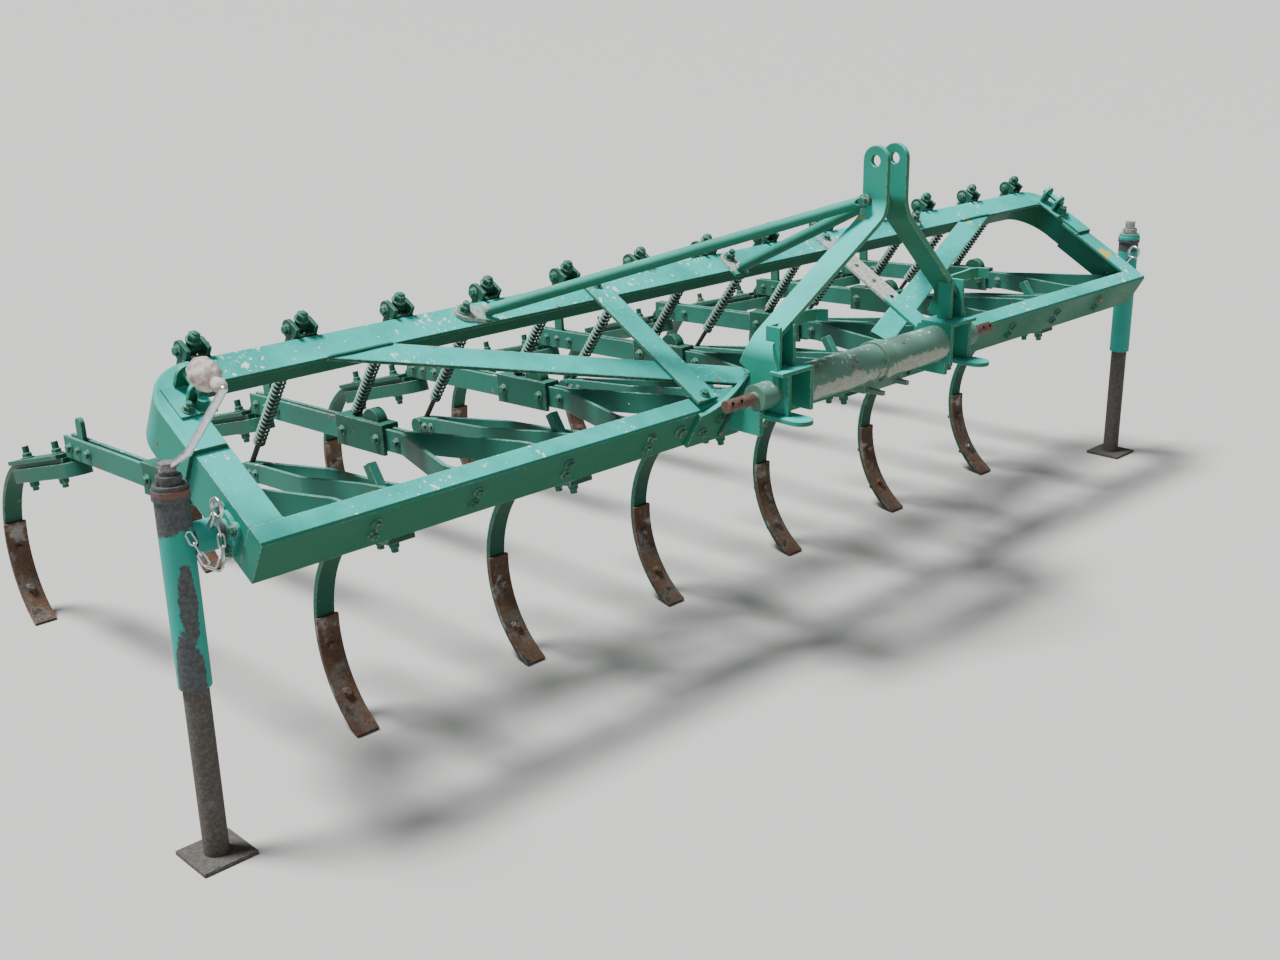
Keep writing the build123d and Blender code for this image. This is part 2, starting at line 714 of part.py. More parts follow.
def tines():
    """Front tines under the short arms, rear ones in holders behind the long arms."""
    rear, front, points, holders, clamps = [], [], [], [], []
    gap = leaf_width / 2
    for index in range(tine_count):
        x = tine_x(index)
        if is_long(index):
            place = holder_place(x)
            leaf = (-holder_plate - leaf_wall, -holder_plate)
            at = holder_length + 5
            spot = place * Pos(0, at, sum(leaf) / 2)
            top = (spot.position.Y, spot.position.Z)
            start_y = place.position.Y
            belly = (start_y + rear_belly[0], rear_belly[1])
            blade, shoe = tine(x, top, belly, start_y + rear_tip)
            strip = span((-gap, gap), (30, at), leaf)
            blade += place * (strip - holder_bolts(holder_bolt_radius + fit_gap))
            rear.append(blade)
            holders.append(tine_holder(x, place))
        else:
            place = arm_place(index)
            start, end = front_clamp
            top_z = -short_bar_tall / 2
            mid_z = top_z - front_clamp_tall
            leaf = (mid_z - leaf_wall, mid_z)
            at = front_bend
            spot = place * Pos(0, at, sum(leaf) / 2)
            top = (spot.position.Y, spot.position.Z)
            blade, shoe = tine(x, top, front_belly, front_tip)
            bolts = Pos(0, start + 30, 0) * Cylinder(holder_bolt_radius + fit_gap, far)
            blade += place * (span((-gap, gap), (start + 8, at), leaf) - bolts)
            front.append(blade)
            half = holder_width / 2
            clamp = span((-half, half), (start, end), (mid_z, top_z))
            clamp += span((-half, half), (start, at), (leaf[0] - holder_plate, leaf[0]))
            clamp += Pos(0, start + 30, mid_z - 15) * Cylinder(holder_bolt_radius, 40)
            clamps.append(place * clamp - blade)
        points.append(shoe)
    keep("tine_holders", *holders)
    keep("tine_clamps", *clamps)
    keep("rear_tines", *rear)
    keep("front_tines", *front)
    keep("tine_points", *points)


def holder_place(x):
    """Place of a rear holder's front edge, on the end of a long arm."""
    along = long_bar_length - holder_lap
    slope = radians(long_slope)
    y = pivot_y + along * cos(slope)
    z = pivot_z - along * sin(slope) - holder_drop
    return Pos(x, y, z) * Rot(X=-holder_slope)


def holder_bolts(radius):
    """The two bolts that clamp a rear leaf between the plate and the body."""
    bolts = Pos(0, holder_bolt_places[0], 0) * Cylinder(radius, far)
    return bolts + Pos(0, holder_bolt_places[1], 0) * Cylinder(radius, far)


def tine_holder(x, place):
    """Plate over the leaf, boat shaped body under it, and a web between the arm's bars."""
    half = holder_width / 2
    plate, low = -holder_plate, -holder_plate - leaf_wall
    holder = span((-half, half), (40, holder_length), (plate, 0))
    holder += span((-half, half), (14, holder_length - 20), (low - holder_body, low))
    holder += Pos(0, 14, low - holder_body / 2) * Cylinder(half, holder_body)
    room = span((-far, far), (-far, far), (low - holder_body, 30))
    holder += holder_bolts(holder_bolt_radius) & room
    inner = long_bar_gap / 2
    y, z = place.position.Y, place.position.Z
    outline = [(y - 30, z + 24), (y + 22, z + 22), (y + 45, z - 10), (y + 45, z - 26)]
    outline += [(y, z - 29), (y - 30, z - 12)]
    web = side_plate(outline, x - inner, 2 * inner)
    body = place * holder
    strip = place * span((-half - 5, half + 5), (29, far), (low, plate))
    return body + (web - strip)


def rod_line(index):
    """Lean of a tine's spring rod from the trunnion to its arm, and the length of that line."""
    along = seat_rod if is_long(index) else short_bar_length + short_end_radius - 4
    slope = radians(long_slope if is_long(index) else short_slope)
    top_y, top_z = to_world(rod_place, rod_place_z)
    run = pivot_y + along * cos(slope) - top_y
    drop = top_z - (pivot_z - along * sin(slope))
    return degrees(atan2(run, drop)) - frame_tilt, hypot(run, drop)


def rod_axis(index):
    """Place at the trunnion behind the rear beam, with Z up along a spring rod."""
    return Pos(tine_x(index), 0, 0) * axes_tilt * Pos(0, rod_place, rod_place_z) * Rot(X=rod_line(index)[0])


def rod_hole(index):
    """Bore for a spring rod in the piece it runs through."""
    return rod_axis(index) * round_bar((0, 0, 0), (0, 0, -far), rod_radius + fit_gap)


def coil_spring(low, high):
    """Ribbed sleeve round a rod, one rib for each turn of the spring."""
    pitch = (high - low) / spring_turns
    inner = rod_radius + fit_gap
    groove = spring_radius - spring_groove
    outline = [(inner, low), (groove, low)]
    for turn in range(spring_turns):
        start = low + turn * pitch
        outline += [(spring_radius, start + 0.25 * pitch), (spring_radius, start + 0.6 * pitch)]
        outline += [(groove, start + 0.85 * pitch), (groove, start + pitch)]
    outline += [(inner, high)]
    return revolve(make_face(Plane.XZ * Polyline(*outline, close=True)), Axis.Z, 360)


def rods():
    """Spring rods in trunnions behind the rear beam, each with its coil spring."""
    made, coils, ears, trunnions = [], [], [], []
    back = frame_depth
    for index in range(tine_count):
        side = Pos(tine_x(index), 0, 0)
        length = rod_line(index)[1]
        end = length - (long_rod_end if is_long(index) else short_rod_end)
        coil_end = length - (long_spring_end if is_long(index) else short_spring_end)
        made.append(rod_axis(index) * round_bar((0, 0, -end), (0, 0, rod_top), rod_radius))
        coils.append(rod_axis(index) * coil_spring(-coil_end, -spring_start))
        inner = ear_gap / 2
        ear = span((inner, inner + ear_wall), (back, rod_place), (ear_low, rod_place_z + ear_radius))
        ear += cross_bar(inner + ear_wall / 2, rod_place, rod_place_z, ear_radius, ear_wall)
        plate = span((-inner - ear_wall, inner + ear_wall), (back, back + 6), (ear_low, rear_wall))
        ears.append(side * axes_tilt * (ear + flip(ear) + plate))
        block = cross_bar(0, 0, 0, trunnion_radius, ear_gap)
        block += round_bar((0, 0, trunnion_radius - 3), (0, 0, trunnion_radius + 12), 12)
        block += round_bar((0, 0, -spring_start), (0, 0, -6), spring_radius)
        block -= round_bar((0, 0, -80), (0, 0, 80), rod_radius + fit_gap)
        trunnions.append(rod_axis(index) * block)
    keep("spring_rods", *made)
    keep("springs", *coils)
    keep("rod_ears", *ears)
    keep("trunnions", *trunnions)


def jacks():
    """Screw jacks on pipe stubs outside the front corners, left one with its crank."""
    y, z = jack_y, jack_z
    wall_x = frame_half
    r = stub_radius
    inner = jack_x - jack_tube_radius
    stub = pipe((wall_x, y, z), (inner - 1, y, z), r, stub_wall)
    mid_y, mid_z = to_frame(y, z)
    middle = wall_x + flange_wall / 2
    plate = cross_bar(middle, mid_y, mid_z, flange_radius, flange_wall)
    for lobe in range(lobe_count):
        turn = radians(360 / lobe_count * (lobe + 0.5))
        lobe_y, lobe_z = mid_y + flange_radius * cos(turn), mid_z + flange_radius * sin(turn)
        plate += cross_bar(middle, lobe_y, lobe_z, lobe_radius, flange_wall)
    stub += axes_tilt * plate - cross_bar(middle, y, z, r - stub_wall, far)
    keep("jack_stubs", stub, flip(stub))
    sleeve_r = r + stub_gap + sleeve_wall
    sleeve_end = inner + sleeve_lap
    sleeve = pipe((sleeve_end - sleeve_length, y, z), (sleeve_end, y, z), sleeve_r, sleeve_wall)
    radius, top, low = jack_tube_radius, jack_tube_top, jack_tube_bottom
    tube = pipe((jack_x, y, low), (jack_x, y, top), radius, jack_tube_wall)
    cap_top = top + jack_cap_wall
    tube += round_bar((jack_x, y, top), (jack_x, y, cap_top), radius)
    rim = jack_rim_tall
    tube += pipe((jack_x, y, top - rim), (jack_x, y, top), jack_rim_radius, jack_rim_radius - radius + 1)
    tube += round_bar((jack_x, y, top), (jack_x, y, top + hub_tall), hub_radius)
    tube += round_bar((jack_x, y, top), (jack_x, y, cap_top + hub_foot_tall), hub_foot_radius)
    pin_z = top + hub_tall - hub_pin_drop
    tube += cross_bar(jack_x, y, pin_z, hub_pin_radius, hub_pin_length)
    tube += sleeve - round_bar((jack_x, y, low), (jack_x, y, top), radius - 1)
    ground = -floor_drop
    leg_radius = radius - jack_tube_wall - jack_leg_gap
    leg = pipe((jack_x, y, ground + 2), (jack_x, y, low + jack_overlap), leg_radius, jack_leg_wall)
    foot = jack_foot_half
    leg += span((jack_x - foot, jack_x + foot), (y - foot, y + foot), (ground, ground + jack_foot_wall))
    keep("jack_tube_right", tube)
    keep("jack_tube_left", flip(tube))
    keep("jack_leg_right", leg)
    keep("jack_leg_left", flip(leg))
    hub = Vector(-jack_x, y, jack_tube_top + hub_tall - crank_drop)
    bends = [hub + Vector(*step) for step in crank_steps]
    crank = Pos(*bends[0]) * Sphere(crank_radius) + Pos(*bends[1]) * Sphere(crank_radius)
    route = [hub, *bends]
    for start, end in zip(route, route[1:]):
        crank += round_bar(tuple(start), tuple(end), crank_radius)
    crank -= round_bar((hub.X, hub.Y, hub.Z - far), (hub.X, hub.Y, hub.Z + far), hub_radius + fit_gap)
    bore = crank_radius + fit_gap
    outline = [(bore, grip_profile[0][0]), *[(radius, along) for along, radius in grip_profile]]
    outline.append((bore, grip_profile[-1][0]))
    grip = revolve(make_face(Plane.XZ * Polyline(*outline, close=True)), Axis.Z, 360)
    grip = Plane(origin=bends[1], z_dir=bends[2] - bends[1]) * grip
    grip -= round_bar(tuple(bends[0]), tuple(bends[1]), bore) + Pos(*bends[1]) * Sphere(bore)
    keep("jack_crank", crank)
    keep("crank_grip", grip)
    pin_x = sleeve_end - sleeve_length + lock_pin_place
    lean = Pos(pin_x, y, z) * Rot(X=lock_pin_lean)
    pin_top = sleeve_r + lock_pin_rise
    pin = round_bar((0, 0, r + slide_gap), (0, 0, pin_top), lock_pin_radius)
    pin += Pos(0, 0, pin_top + lock_ring_radius) * Rot(Y=90) * Torus(lock_ring_radius, lock_ring_wire)
    hole = lean * round_bar((0, 0, 0), (0, 0, pin_top + 20), lock_pin_radius + fit_gap)
    nodes["jack_tube_right"] = [nodes["jack_tube_right"][0] - hole]
    nodes["jack_tube_left"] = [nodes["jack_tube_left"][0] - flip(hole)]
    keep("lock_pin_right", lean * pin)
    keep("lock_pin_left", flip(lean * pin))


front_frame()
rear_frame()
corner_lugs()
stays()
mast()
mast_gussets()
braces()
hitch()
pivots()
long_arms()
short_arms()
tines()
rods()
jacks()

os.makedirs("parts", exist_ok=True)
for name, shapes in nodes.items():
    solids = []
    for shape in shapes:
        solids += (move_home * shape).solids()
    piece = solids[0] if len(solids) == 1 else Compound(children=solids)
    export_step(piece, os.path.join("parts", name + ".step"))
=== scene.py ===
import math
import bpy
import numpy as np
from mathutils import Matrix, Vector


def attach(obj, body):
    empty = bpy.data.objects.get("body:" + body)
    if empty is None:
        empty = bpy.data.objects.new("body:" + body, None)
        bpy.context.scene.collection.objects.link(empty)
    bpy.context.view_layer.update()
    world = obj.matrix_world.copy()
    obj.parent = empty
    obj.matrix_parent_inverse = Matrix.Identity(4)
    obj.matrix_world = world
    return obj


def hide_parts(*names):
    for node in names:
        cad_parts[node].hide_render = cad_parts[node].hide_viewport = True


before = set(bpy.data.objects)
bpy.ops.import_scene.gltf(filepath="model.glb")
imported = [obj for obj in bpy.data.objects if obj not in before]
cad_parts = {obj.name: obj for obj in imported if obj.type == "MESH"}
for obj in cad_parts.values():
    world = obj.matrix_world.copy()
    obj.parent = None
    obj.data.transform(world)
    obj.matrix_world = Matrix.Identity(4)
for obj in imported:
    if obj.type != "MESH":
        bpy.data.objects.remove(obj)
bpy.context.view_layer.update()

print("frame loaded:", len(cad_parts), "nodes")

# The flat frame leans back about the top front edge of the front beam. Metres and degrees.
layout = {
    "tilt": 30.0,
    "edgeY": 0.142,
    "edgeZ": -0.515,
    "tineCount": 13,
    "tinePitch": 0.2372,
    "rodPlace": (0.494, 0.008),
    "longSlope": 2.6,
    "longRod": 0.562,
    "shortSlope": 7.5,
    "shortRod": 0.616,
    "pivot": (0.078, -0.03),
    "holderStart": (1.04001, -0.08569),
    "holderSlope": 15.5,
    "bracePin": (-0.126, 0.428),
    "jackX": 1.647,
    "jackY": 0.1155,
    "ground": -0.62,
}


def turnX(degrees):
    a = math.radians(degrees)
    return np.array([[1, 0, 0], [0, math.cos(a), -math.sin(a)], [0, math.sin(a), math.cos(a)]])


def turnY(degrees):
    a = math.radians(degrees)
    return np.array([[math.cos(a), 0, math.sin(a)], [0, 1, 0], [-math.sin(a), 0, math.cos(a)]])


tilted = turnX(layout["tilt"])


def rowPoint(x, y, z):
    # from upright axes at the front beam to the model's own origin
    return np.array([x, y + layout["edgeY"], z + layout["edgeZ"]])


def placeAt(turn, spot):
    # 4x4 place from a 3x3 turn and the spot that it moves to
    place = np.eye(4)
    place[:3, :3] = turn
    place[:3, 3] = spot
    return place


def uprightPlace(x, y, z, spin=np.eye(3)):
    return placeAt(spin, rowPoint(x, y, z))


def framePlace(x, y, z, spin=np.eye(3)):
    # on the leaning frame, z upwards off its top face
    return placeAt(tilted @ spin, rowPoint(*(tilted @ np.array([x, y, z]))))


def frameSpot(x, y, z):
    return framePlace(x, y, z)[:3, 3]


def tineX(index):
    return (index - (layout["tineCount"] - 1) / 2) * layout["tinePitch"]


# Camera at the photo's place and angle
camera = {
    "spot": (-2.710, -1.994, 0.393),
    "forward": (0.6572, 0.6804, -0.3243),
    "right": (0.7147, -0.6992, -0.0186),
    "lens": 41.22,
    "sensor": 36.0,
    "reach": 1000.0,
}


def addCamera():
    data = bpy.data.cameras.new("photoCamera")
    data.lens = camera["lens"]
    data.sensor_width = camera["sensor"]
    data.clip_end = camera["reach"]
    forward = Vector(camera["forward"]).normalized()
    right = Vector(camera["right"]).normalized()
    up = right.cross(forward).normalized()
    turn = Matrix((right, up, -forward)).transposed().to_4x4()
    eye = bpy.data.objects.new("photoCamera", data)
    eye.matrix_world = Matrix.Translation(camera["spot"]) @ turn
    bpy.context.scene.collection.objects.link(eye)
    bpy.context.scene.camera = eye


# Light: one broad high key from the left and behind, a weak fill and a pale room
light = {
    "keyPower": 7.0,
    "keySoftness": 16.0,
    "keySpot": (-2.7, 2.6, 8.4),
    "fillPower": 16.0,
    "fillSize": 5.0,
    "fillSpot": (-3.5, -4.5, 1.2),
    "aim": (0.0, 0.4, -0.6),
    "room": (0.88, 0.9, 0.92),
    "roomPower": 0.28,
    "backdropPower": 1.05,
    "floorColor": (0.5, 0.5, 0.485),
    "floorRoughness": 0.85,
    "floorReach": 400.0,
}


def addLamp(name, data, spot):
    lamp = bpy.data.objects.new(name, data)
    aim = (Vector(light["aim"]) - Vector(spot)).to_track_quat("-Z", "Y")
    lamp.matrix_world = Matrix.Translation(spot) @ aim.to_matrix().to_4x4()
    bpy.context.scene.collection.objects.link(lamp)


def addLights():
    key = bpy.data.lights.new("keyLight", "SUN")
    key.energy = light["keyPower"]
    key.angle = math.radians(light["keySoftness"])
    addLamp("keyLight", key, light["keySpot"])
    fill = bpy.data.lights.new("fillLight", "AREA")
    fill.energy = light["fillPower"]
    fill.shape = "DISK"
    fill.size = light["fillSize"]
    addLamp("fillLight", fill, light["fillSpot"])


def addRoom():
    # the room gives little light but looks as pale as the floor behind the machine
    world = bpy.data.worlds.new("room")
    world.use_nodes = True
    tree = world.node_tree
    back = tree.nodes["Background"]
    back.inputs["Color"].default_value = (*light["room"], 1.0)
    seen = tree.nodes.new("ShaderNodeLightPath")
    power = tree.nodes.new("ShaderNodeMapRange")
    power.inputs["To Min"].default_value = light["roomPower"]
    power.inputs["To Max"].default_value = light["backdropPower"]
    tree.links.new(seen.outputs["Is Camera Ray"], power.inputs["Value"])
    tree.links.new(power.outputs["Result"], back.inputs["Strength"])
    bpy.context.scene.world = world


def addFloor():
    reach, low = light["floorReach"], layout["ground"] + layout["edgeZ"]
    mesh = bpy.data.meshes.new("floor")
    corners = [(-reach, -reach, low), (reach, -reach, low), (reach, reach, low), (-reach, reach, low)]
    mesh.from_pydata(corners, [], [(0, 1, 2, 3)])
    floor = bpy.data.objects.new("floor", mesh)
    bpy.context.scene.collection.objects.link(floor)
    material = bpy.data.materials.new("floorPaint")
    material.use_nodes = True
    shader = material.node_tree.nodes["Principled BSDF"]
    shader.inputs["Base Color"].default_value = (*light["floorColor"], 1.0)
    shader.inputs["Roughness"].default_value = light["floorRoughness"]
    mesh.materials.append(material)


addCamera()
addLights()
addRoom()
addFloor()
print("camera, lights and floor placed")


# Shader helpers: one call adds a node, sets it and feeds its sockets with a link or a value
def feedSocket(tree, socket, value):
    if isinstance(value, bpy.types.NodeSocket):
        tree.links.new(value, socket)
    elif socket.type == "RGBA":
        socket.default_value = (*value, 1.0)
    else:
        socket.default_value = value


def addNode(tree, kind, reads=None, **settings):
    node = tree.nodes.new(kind)
    for key, value in settings.items():
        setattr(node, key, value)
    for key, value in (reads or {}).items():
        feedSocket(tree, node.inputs[key], value)
    return node


def mathNode(tree, operation, first, second):
    return addNode(tree, "ShaderNodeMath", {0: first, 1: second}, operation=operation).outputs[0]


def times(tree, first, second):
    return mathNode(tree, "MULTIPLY", first, second)


def vectorNode(tree, operation, *values):
    node = addNode(tree, "ShaderNodeVectorMath", dict(enumerate(values)), operation=operation)
    return node.outputs["Value" if operation in ("DOT_PRODUCT", "LENGTH") else "Vector"]


def stepNode(tree, value, low, high, outLow=0.0, outHigh=1.0):
    reads = {0: value, 1: low, 2: high, 3: outLow, 4: outHigh}
    return addNode(tree, "ShaderNodeMapRange", reads, interpolation_type="SMOOTHSTEP").outputs[0]


def noiseNode(tree, coord, scale, detail=4.0, rough=0.55, twist=0.0):
    reads = {"Vector": coord, "Scale": scale, "Detail": detail, "Roughness": rough, "Distortion": twist}
    return addNode(tree, "ShaderNodeTexNoise", reads).outputs[0]


def mixColor(tree, mask, first, second):
    return addNode(tree, "ShaderNodeMix", {0: mask, 6: first, 7: second}, data_type="RGBA").outputs[2]


def newGroup(name, inputs, outputs):
    tree = bpy.data.node_groups.new(name, "ShaderNodeTree")
    for label, kind, value in inputs:
        socket = tree.interface.new_socket(label, in_out="INPUT", socket_type="NodeSocket" + kind)
        if value is not None:
            socket.default_value = value
    for label, kind in outputs:
        tree.interface.new_socket(label, in_out="OUTPUT", socket_type="NodeSocket" + kind)
    return tree, tree.nodes.new("NodeGroupInput"), tree.nodes.new("NodeGroupOutput")


def placeGroup(tree, group, reads):
    return addNode(tree, "ShaderNodeGroup", reads, node_tree=group)


# Worn edges: noise scales, how far patches of wear come and go, and the rounding that bares them
edgeWear = {
    "grainScale": 60.0,
    "patchScale": 6.0,
    "patches": (0.44, 0.6, 0.35, 1.0),
    "bared": (0.32, 0.5),
}


def edgeGroup():
    # wear is how far a rounded normal leaves the flat one, times grain and broad patches
    inputs = [("Vector", "Vector", None), ("Radius", "Float", 0.002), ("Gain", "Float", 6.0)]
    tree, ins, outs = newGroup("edgeWear", inputs, [("Mask", "Float"), ("Normal", "Vector")])
    spot = ins.outputs["Vector"]
    bevel = addNode(tree, "ShaderNodeBevel", {"Radius": ins.outputs["Radius"]}, samples=4).outputs[0]
    flat = addNode(tree, "ShaderNodeNewGeometry").outputs["Normal"]
    turn = mathNode(tree, "SUBTRACT", 1.0, vectorNode(tree, "DOT_PRODUCT", bevel, flat))
    grain = noiseNode(tree, spot, edgeWear["grainScale"], 5.0, 0.7)
    patches = noiseNode(tree, spot, edgeWear["patchScale"], 3.0, 0.6)
    grain = times(tree, grain, stepNode(tree, patches, *edgeWear["patches"]))
    worn = times(tree, times(tree, turn, ins.outputs["Gain"]), grain)
    tree.links.new(stepNode(tree, worn, *edgeWear["bared"]), outs.inputs["Mask"])
    tree.links.new(bevel, outs.inputs["Normal"])
    return tree


# Aged paint: the side that sun and rain bleach, also painted lighter there as sunlight, noise scales, specks
# as (scale, reach), and stains, with painted shade on undersides
agedPaint = {
    "sunAndWeatherSide": (-0.35, 0.0, 0.94),
    "cloudScale": 5.0,
    "fineScale": 90.0,
    "chipScale": 14.0,
    "clusterScale": 4.5,
    "lichenScale": 7.0,
    "specks": ((48.0, 0.5), (115.0, 0.46)),
    "raggedScale": 38.0,
    "ragged": (0.03, 0.03, 0.03),
    "grimeAndShadeColor": (0.012, 0.03, 0.02),
    "rustColors": ((0.1, 0.05, 0.03), (0.24, 0.2, 0.16)),
    "speckColor": (0.6, 0.73, 0.69),
    "lichenColor": (0.52, 0.43, 0.07),
}


def paintGroup():
    inputs = [
        ("Vector", "Vector", None), ("Paint", "Color", None), ("ChalkAndSunlight", "Color", None),
        ("Fade", "Float", 0.8), ("Chips", "Float", 0.3), ("Specks", "Float", 0.3),
        ("Lichen", "Float", 0.1), ("Grime", "Float", 0.3),
    ]
    outputs = [("Color", "Color"), ("Roughness", "Float"), ("Height", "Float")]
    tree, ins, outs = newGroup("agedPaint", inputs, outputs)
    spot = ins.outputs["Vector"]
    normal = addNode(tree, "ShaderNodeNewGeometry").outputs["Normal"]
    rise = addNode(tree, "ShaderNodeSeparateXYZ", {0: normal}).outputs[2]
    upward = stepNode(tree, rise, 0.25, 0.9)
    under = stepNode(tree, rise, 0.1, -0.7)
    cloud = noiseNode(tree, spot, agedPaint["cloudScale"], 5.0, 0.6)
    fine = noiseNode(tree, spot, agedPaint["fineScale"], 4.0, 0.65)

    # bleached and pale towards the sun and weather side, partly wear and partly painted sunlight, in broad
    # clouds
    toSunAndSky = vectorNode(tree, "DOT_PRODUCT", normal, agedPaint["sunAndWeatherSide"])
    sunAndFade = times(tree, stepNode(tree, toSunAndSky, 0.12, 0.78), ins.outputs["Fade"])
    sunAndFade = times(tree, sunAndFade, stepNode(tree, cloud, 0.3, 0.6, 0.65, 1.0))
    color = mixColor(tree, sunAndFade, ins.outputs["Paint"], ins.outputs["ChalkAndSunlight"])

    # grime between the clouds, and painted shade on undersides
    dark = mixColor(tree, 0.55, color, agedPaint["grimeAndShadeColor"])
    shade = times(tree, stepNode(tree, cloud, 0.62, 0.4), ins.outputs["Grime"])
    shade = mathNode(tree, "MAXIMUM", shade, times(tree, under, 0.6))
    color = mixColor(tree, shade, color, dark)

    # chips down to rusty steel
    patch = noiseNode(tree, spot, agedPaint["chipScale"], 6.0, 0.7, 0.4)
    limit = mathNode(tree, "SUBTRACT", 0.78, times(tree, ins.outputs["Chips"], 0.2))
    patch = mathNode(tree, "ADD", patch, times(tree, fine, 0.12))
    chipped = mathNode(tree, "GREATER_THAN", patch, limit)
    rust = mixColor(tree, stepNode(tree, fine, 0.35, 0.65), *agedPaint["rustColors"])
    color = mixColor(tree, chipped, color, rust)

    # pale specks in clusters, mostly on top, their rims made ragged by shifting the coordinate
    cluster = noiseNode(tree, spot, agedPaint["clusterScale"], 4.0, 0.75)
    room = times(tree, stepNode(tree, cluster, 0.4, 0.66, 0.22, 1.0), ins.outputs["Specks"])
    room = times(tree, room, mathNode(tree, "MAXIMUM", upward, 0.3))
    bumpy = times(tree, stepNode(tree, fine, 0.3, 0.7), 0.2)
    reads = {"Vector": spot, "Scale": agedPaint["raggedScale"], "Detail": 3.0}
    ragged = addNode(tree, "ShaderNodeTexNoise", reads).outputs["Color"]
    ragged = vectorNode(tree, "ADD", spot, vectorNode(tree, "MULTIPLY", ragged, agedPaint["ragged"]))
    speck = 0.0
    for scale, reach in agedPaint["specks"]:
        cells = addNode(tree, "ShaderNodeTexVoronoi", {"Vector": ragged, "Scale": scale, "Randomness": 1.0})
        near = mathNode(tree, "ADD", cells.outputs["Distance"], bumpy)
        hit = mathNode(tree, "LESS_THAN", near, times(tree, room, reach))
        speck = mathNode(tree, "MAXIMUM", hit, speck)
    color = mixColor(tree, speck, color, agedPaint["speckColor"])

    # yellow lichen on top faces
    moss = noiseNode(tree, spot, agedPaint["lichenScale"], 3.0, 0.6)
    limit = mathNode(tree, "SUBTRACT", 0.86, times(tree, ins.outputs["Lichen"], 0.25))
    moss = mathNode(tree, "ADD", moss, times(tree, fine, 0.22))
    lichen = times(tree, mathNode(tree, "GREATER_THAN", moss, limit), upward)
    color = mixColor(tree, lichen, color, agedPaint["lichenColor"])

    rough = stepNode(tree, cloud, 0.3, 0.7, 0.5, 0.7)
    matt = times(tree, mathNode(tree, "MAXIMUM", chipped, speck), 0.85)
    rough = mathNode(tree, "MAXIMUM", rough, matt)
    raised = times(tree, mathNode(tree, "ADD", speck, lichen), 0.6)
    height = mathNode(tree, "ADD", raised, times(tree, fine, 0.25))
    height = mathNode(tree, "SUBTRACT", height, times(tree, chipped, 0.5))
    for label, socket in (("Color", color), ("Roughness", rough), ("Height", height)):
        tree.links.new(socket, outs.inputs[label])
    return tree


def zoneGroup():
    # 1 inside an upright ellipsoid of the given half sizes, with a ragged rim
    inputs = [
        ("Vector", "Vector", None), ("Centre", "Vector", None), ("Half", "Vector", None),
        ("Ragged", "Float", 0.4),
    ]
    tree, ins, outs = newGroup("wornZone", inputs, [("Mask", "Float")])
    spot = ins.outputs["Vector"]
    away = vectorNode(tree, "SUBTRACT", spot, ins.outputs["Centre"])
    size = vectorNode(tree, "LENGTH", vectorNode(tree, "DIVIDE", away, ins.outputs["Half"]))
    rim = mathNode(tree, "SUBTRACT", noiseNode(tree, spot, 55.0, 7.0, 0.72), 0.5)
    rim = times(tree, rim, times(tree, ins.outputs["Ragged"], 4.0))
    tree.links.new(stepNode(tree, mathNode(tree, "ADD", size, rim), 1.03, 0.97), outs.inputs["Mask"])
    return tree


# Bare metal: noise scales, and what steel and rust darken towards, as (share, colour)
bareMetal = {
    "patchScale": 22.0,
    "fineScale": 160.0,
    "darkSteel": (0.35, (0.02, 0.02, 0.02)),
    "darkRust": (0.5, (0.03, 0.015, 0.01)),
}


def metalGroup():
    inputs = [
        ("Vector", "Vector", None), ("Steel", "Color", None), ("Rust", "Color", None),
        ("Rusting", "Float", 0.5),
    ]
    outputs = [("Color", "Color"), ("Roughness", "Float"), ("Metallic", "Float"), ("Height", "Float")]
    tree, ins, outs = newGroup("bareMetal", inputs, outputs)
    spot = ins.outputs["Vector"]
    patch = noiseNode(tree, spot, bareMetal["patchScale"], 6.0, 0.65, 0.3)
    fine = noiseNode(tree, spot, bareMetal["fineScale"], 4.0, 0.7)
    limit = mathNode(tree, "SUBTRACT", 0.9, times(tree, ins.outputs["Rusting"], 0.75))
    rust = stepNode(tree, mathNode(tree, "SUBTRACT", patch, limit), -0.08, 0.1)
    tones = []
    for label, dark, reach in (("Steel", "darkSteel", (0.3, 0.7)), ("Rust", "darkRust", (0.35, 0.6))):
        share, shade = bareMetal[dark]
        plain = ins.outputs[label]
        shaded = mixColor(tree, share, plain, shade)
        tones.append(mixColor(tree, stepNode(tree, fine, *reach), plain, shaded))
    color = mixColor(tree, rust, *tones)
    rough = stepNode(tree, rust, 0.0, 1.0, 0.36, 0.88)
    metal = mathNode(tree, "SUBTRACT", 1.0, rust)
    height = times(tree, fine, mathNode(tree, "ADD", 0.2, rust))
    for label, socket in (("Color", color), ("Roughness", rough), ("Metallic", metal), ("Height", height)):
        tree.links.new(socket, outs.inputs[label])
    return tree


groups = {"edge": edgeGroup(), "paint": paintGroup(), "zone": zoneGroup(), "metal": metalGroup()}
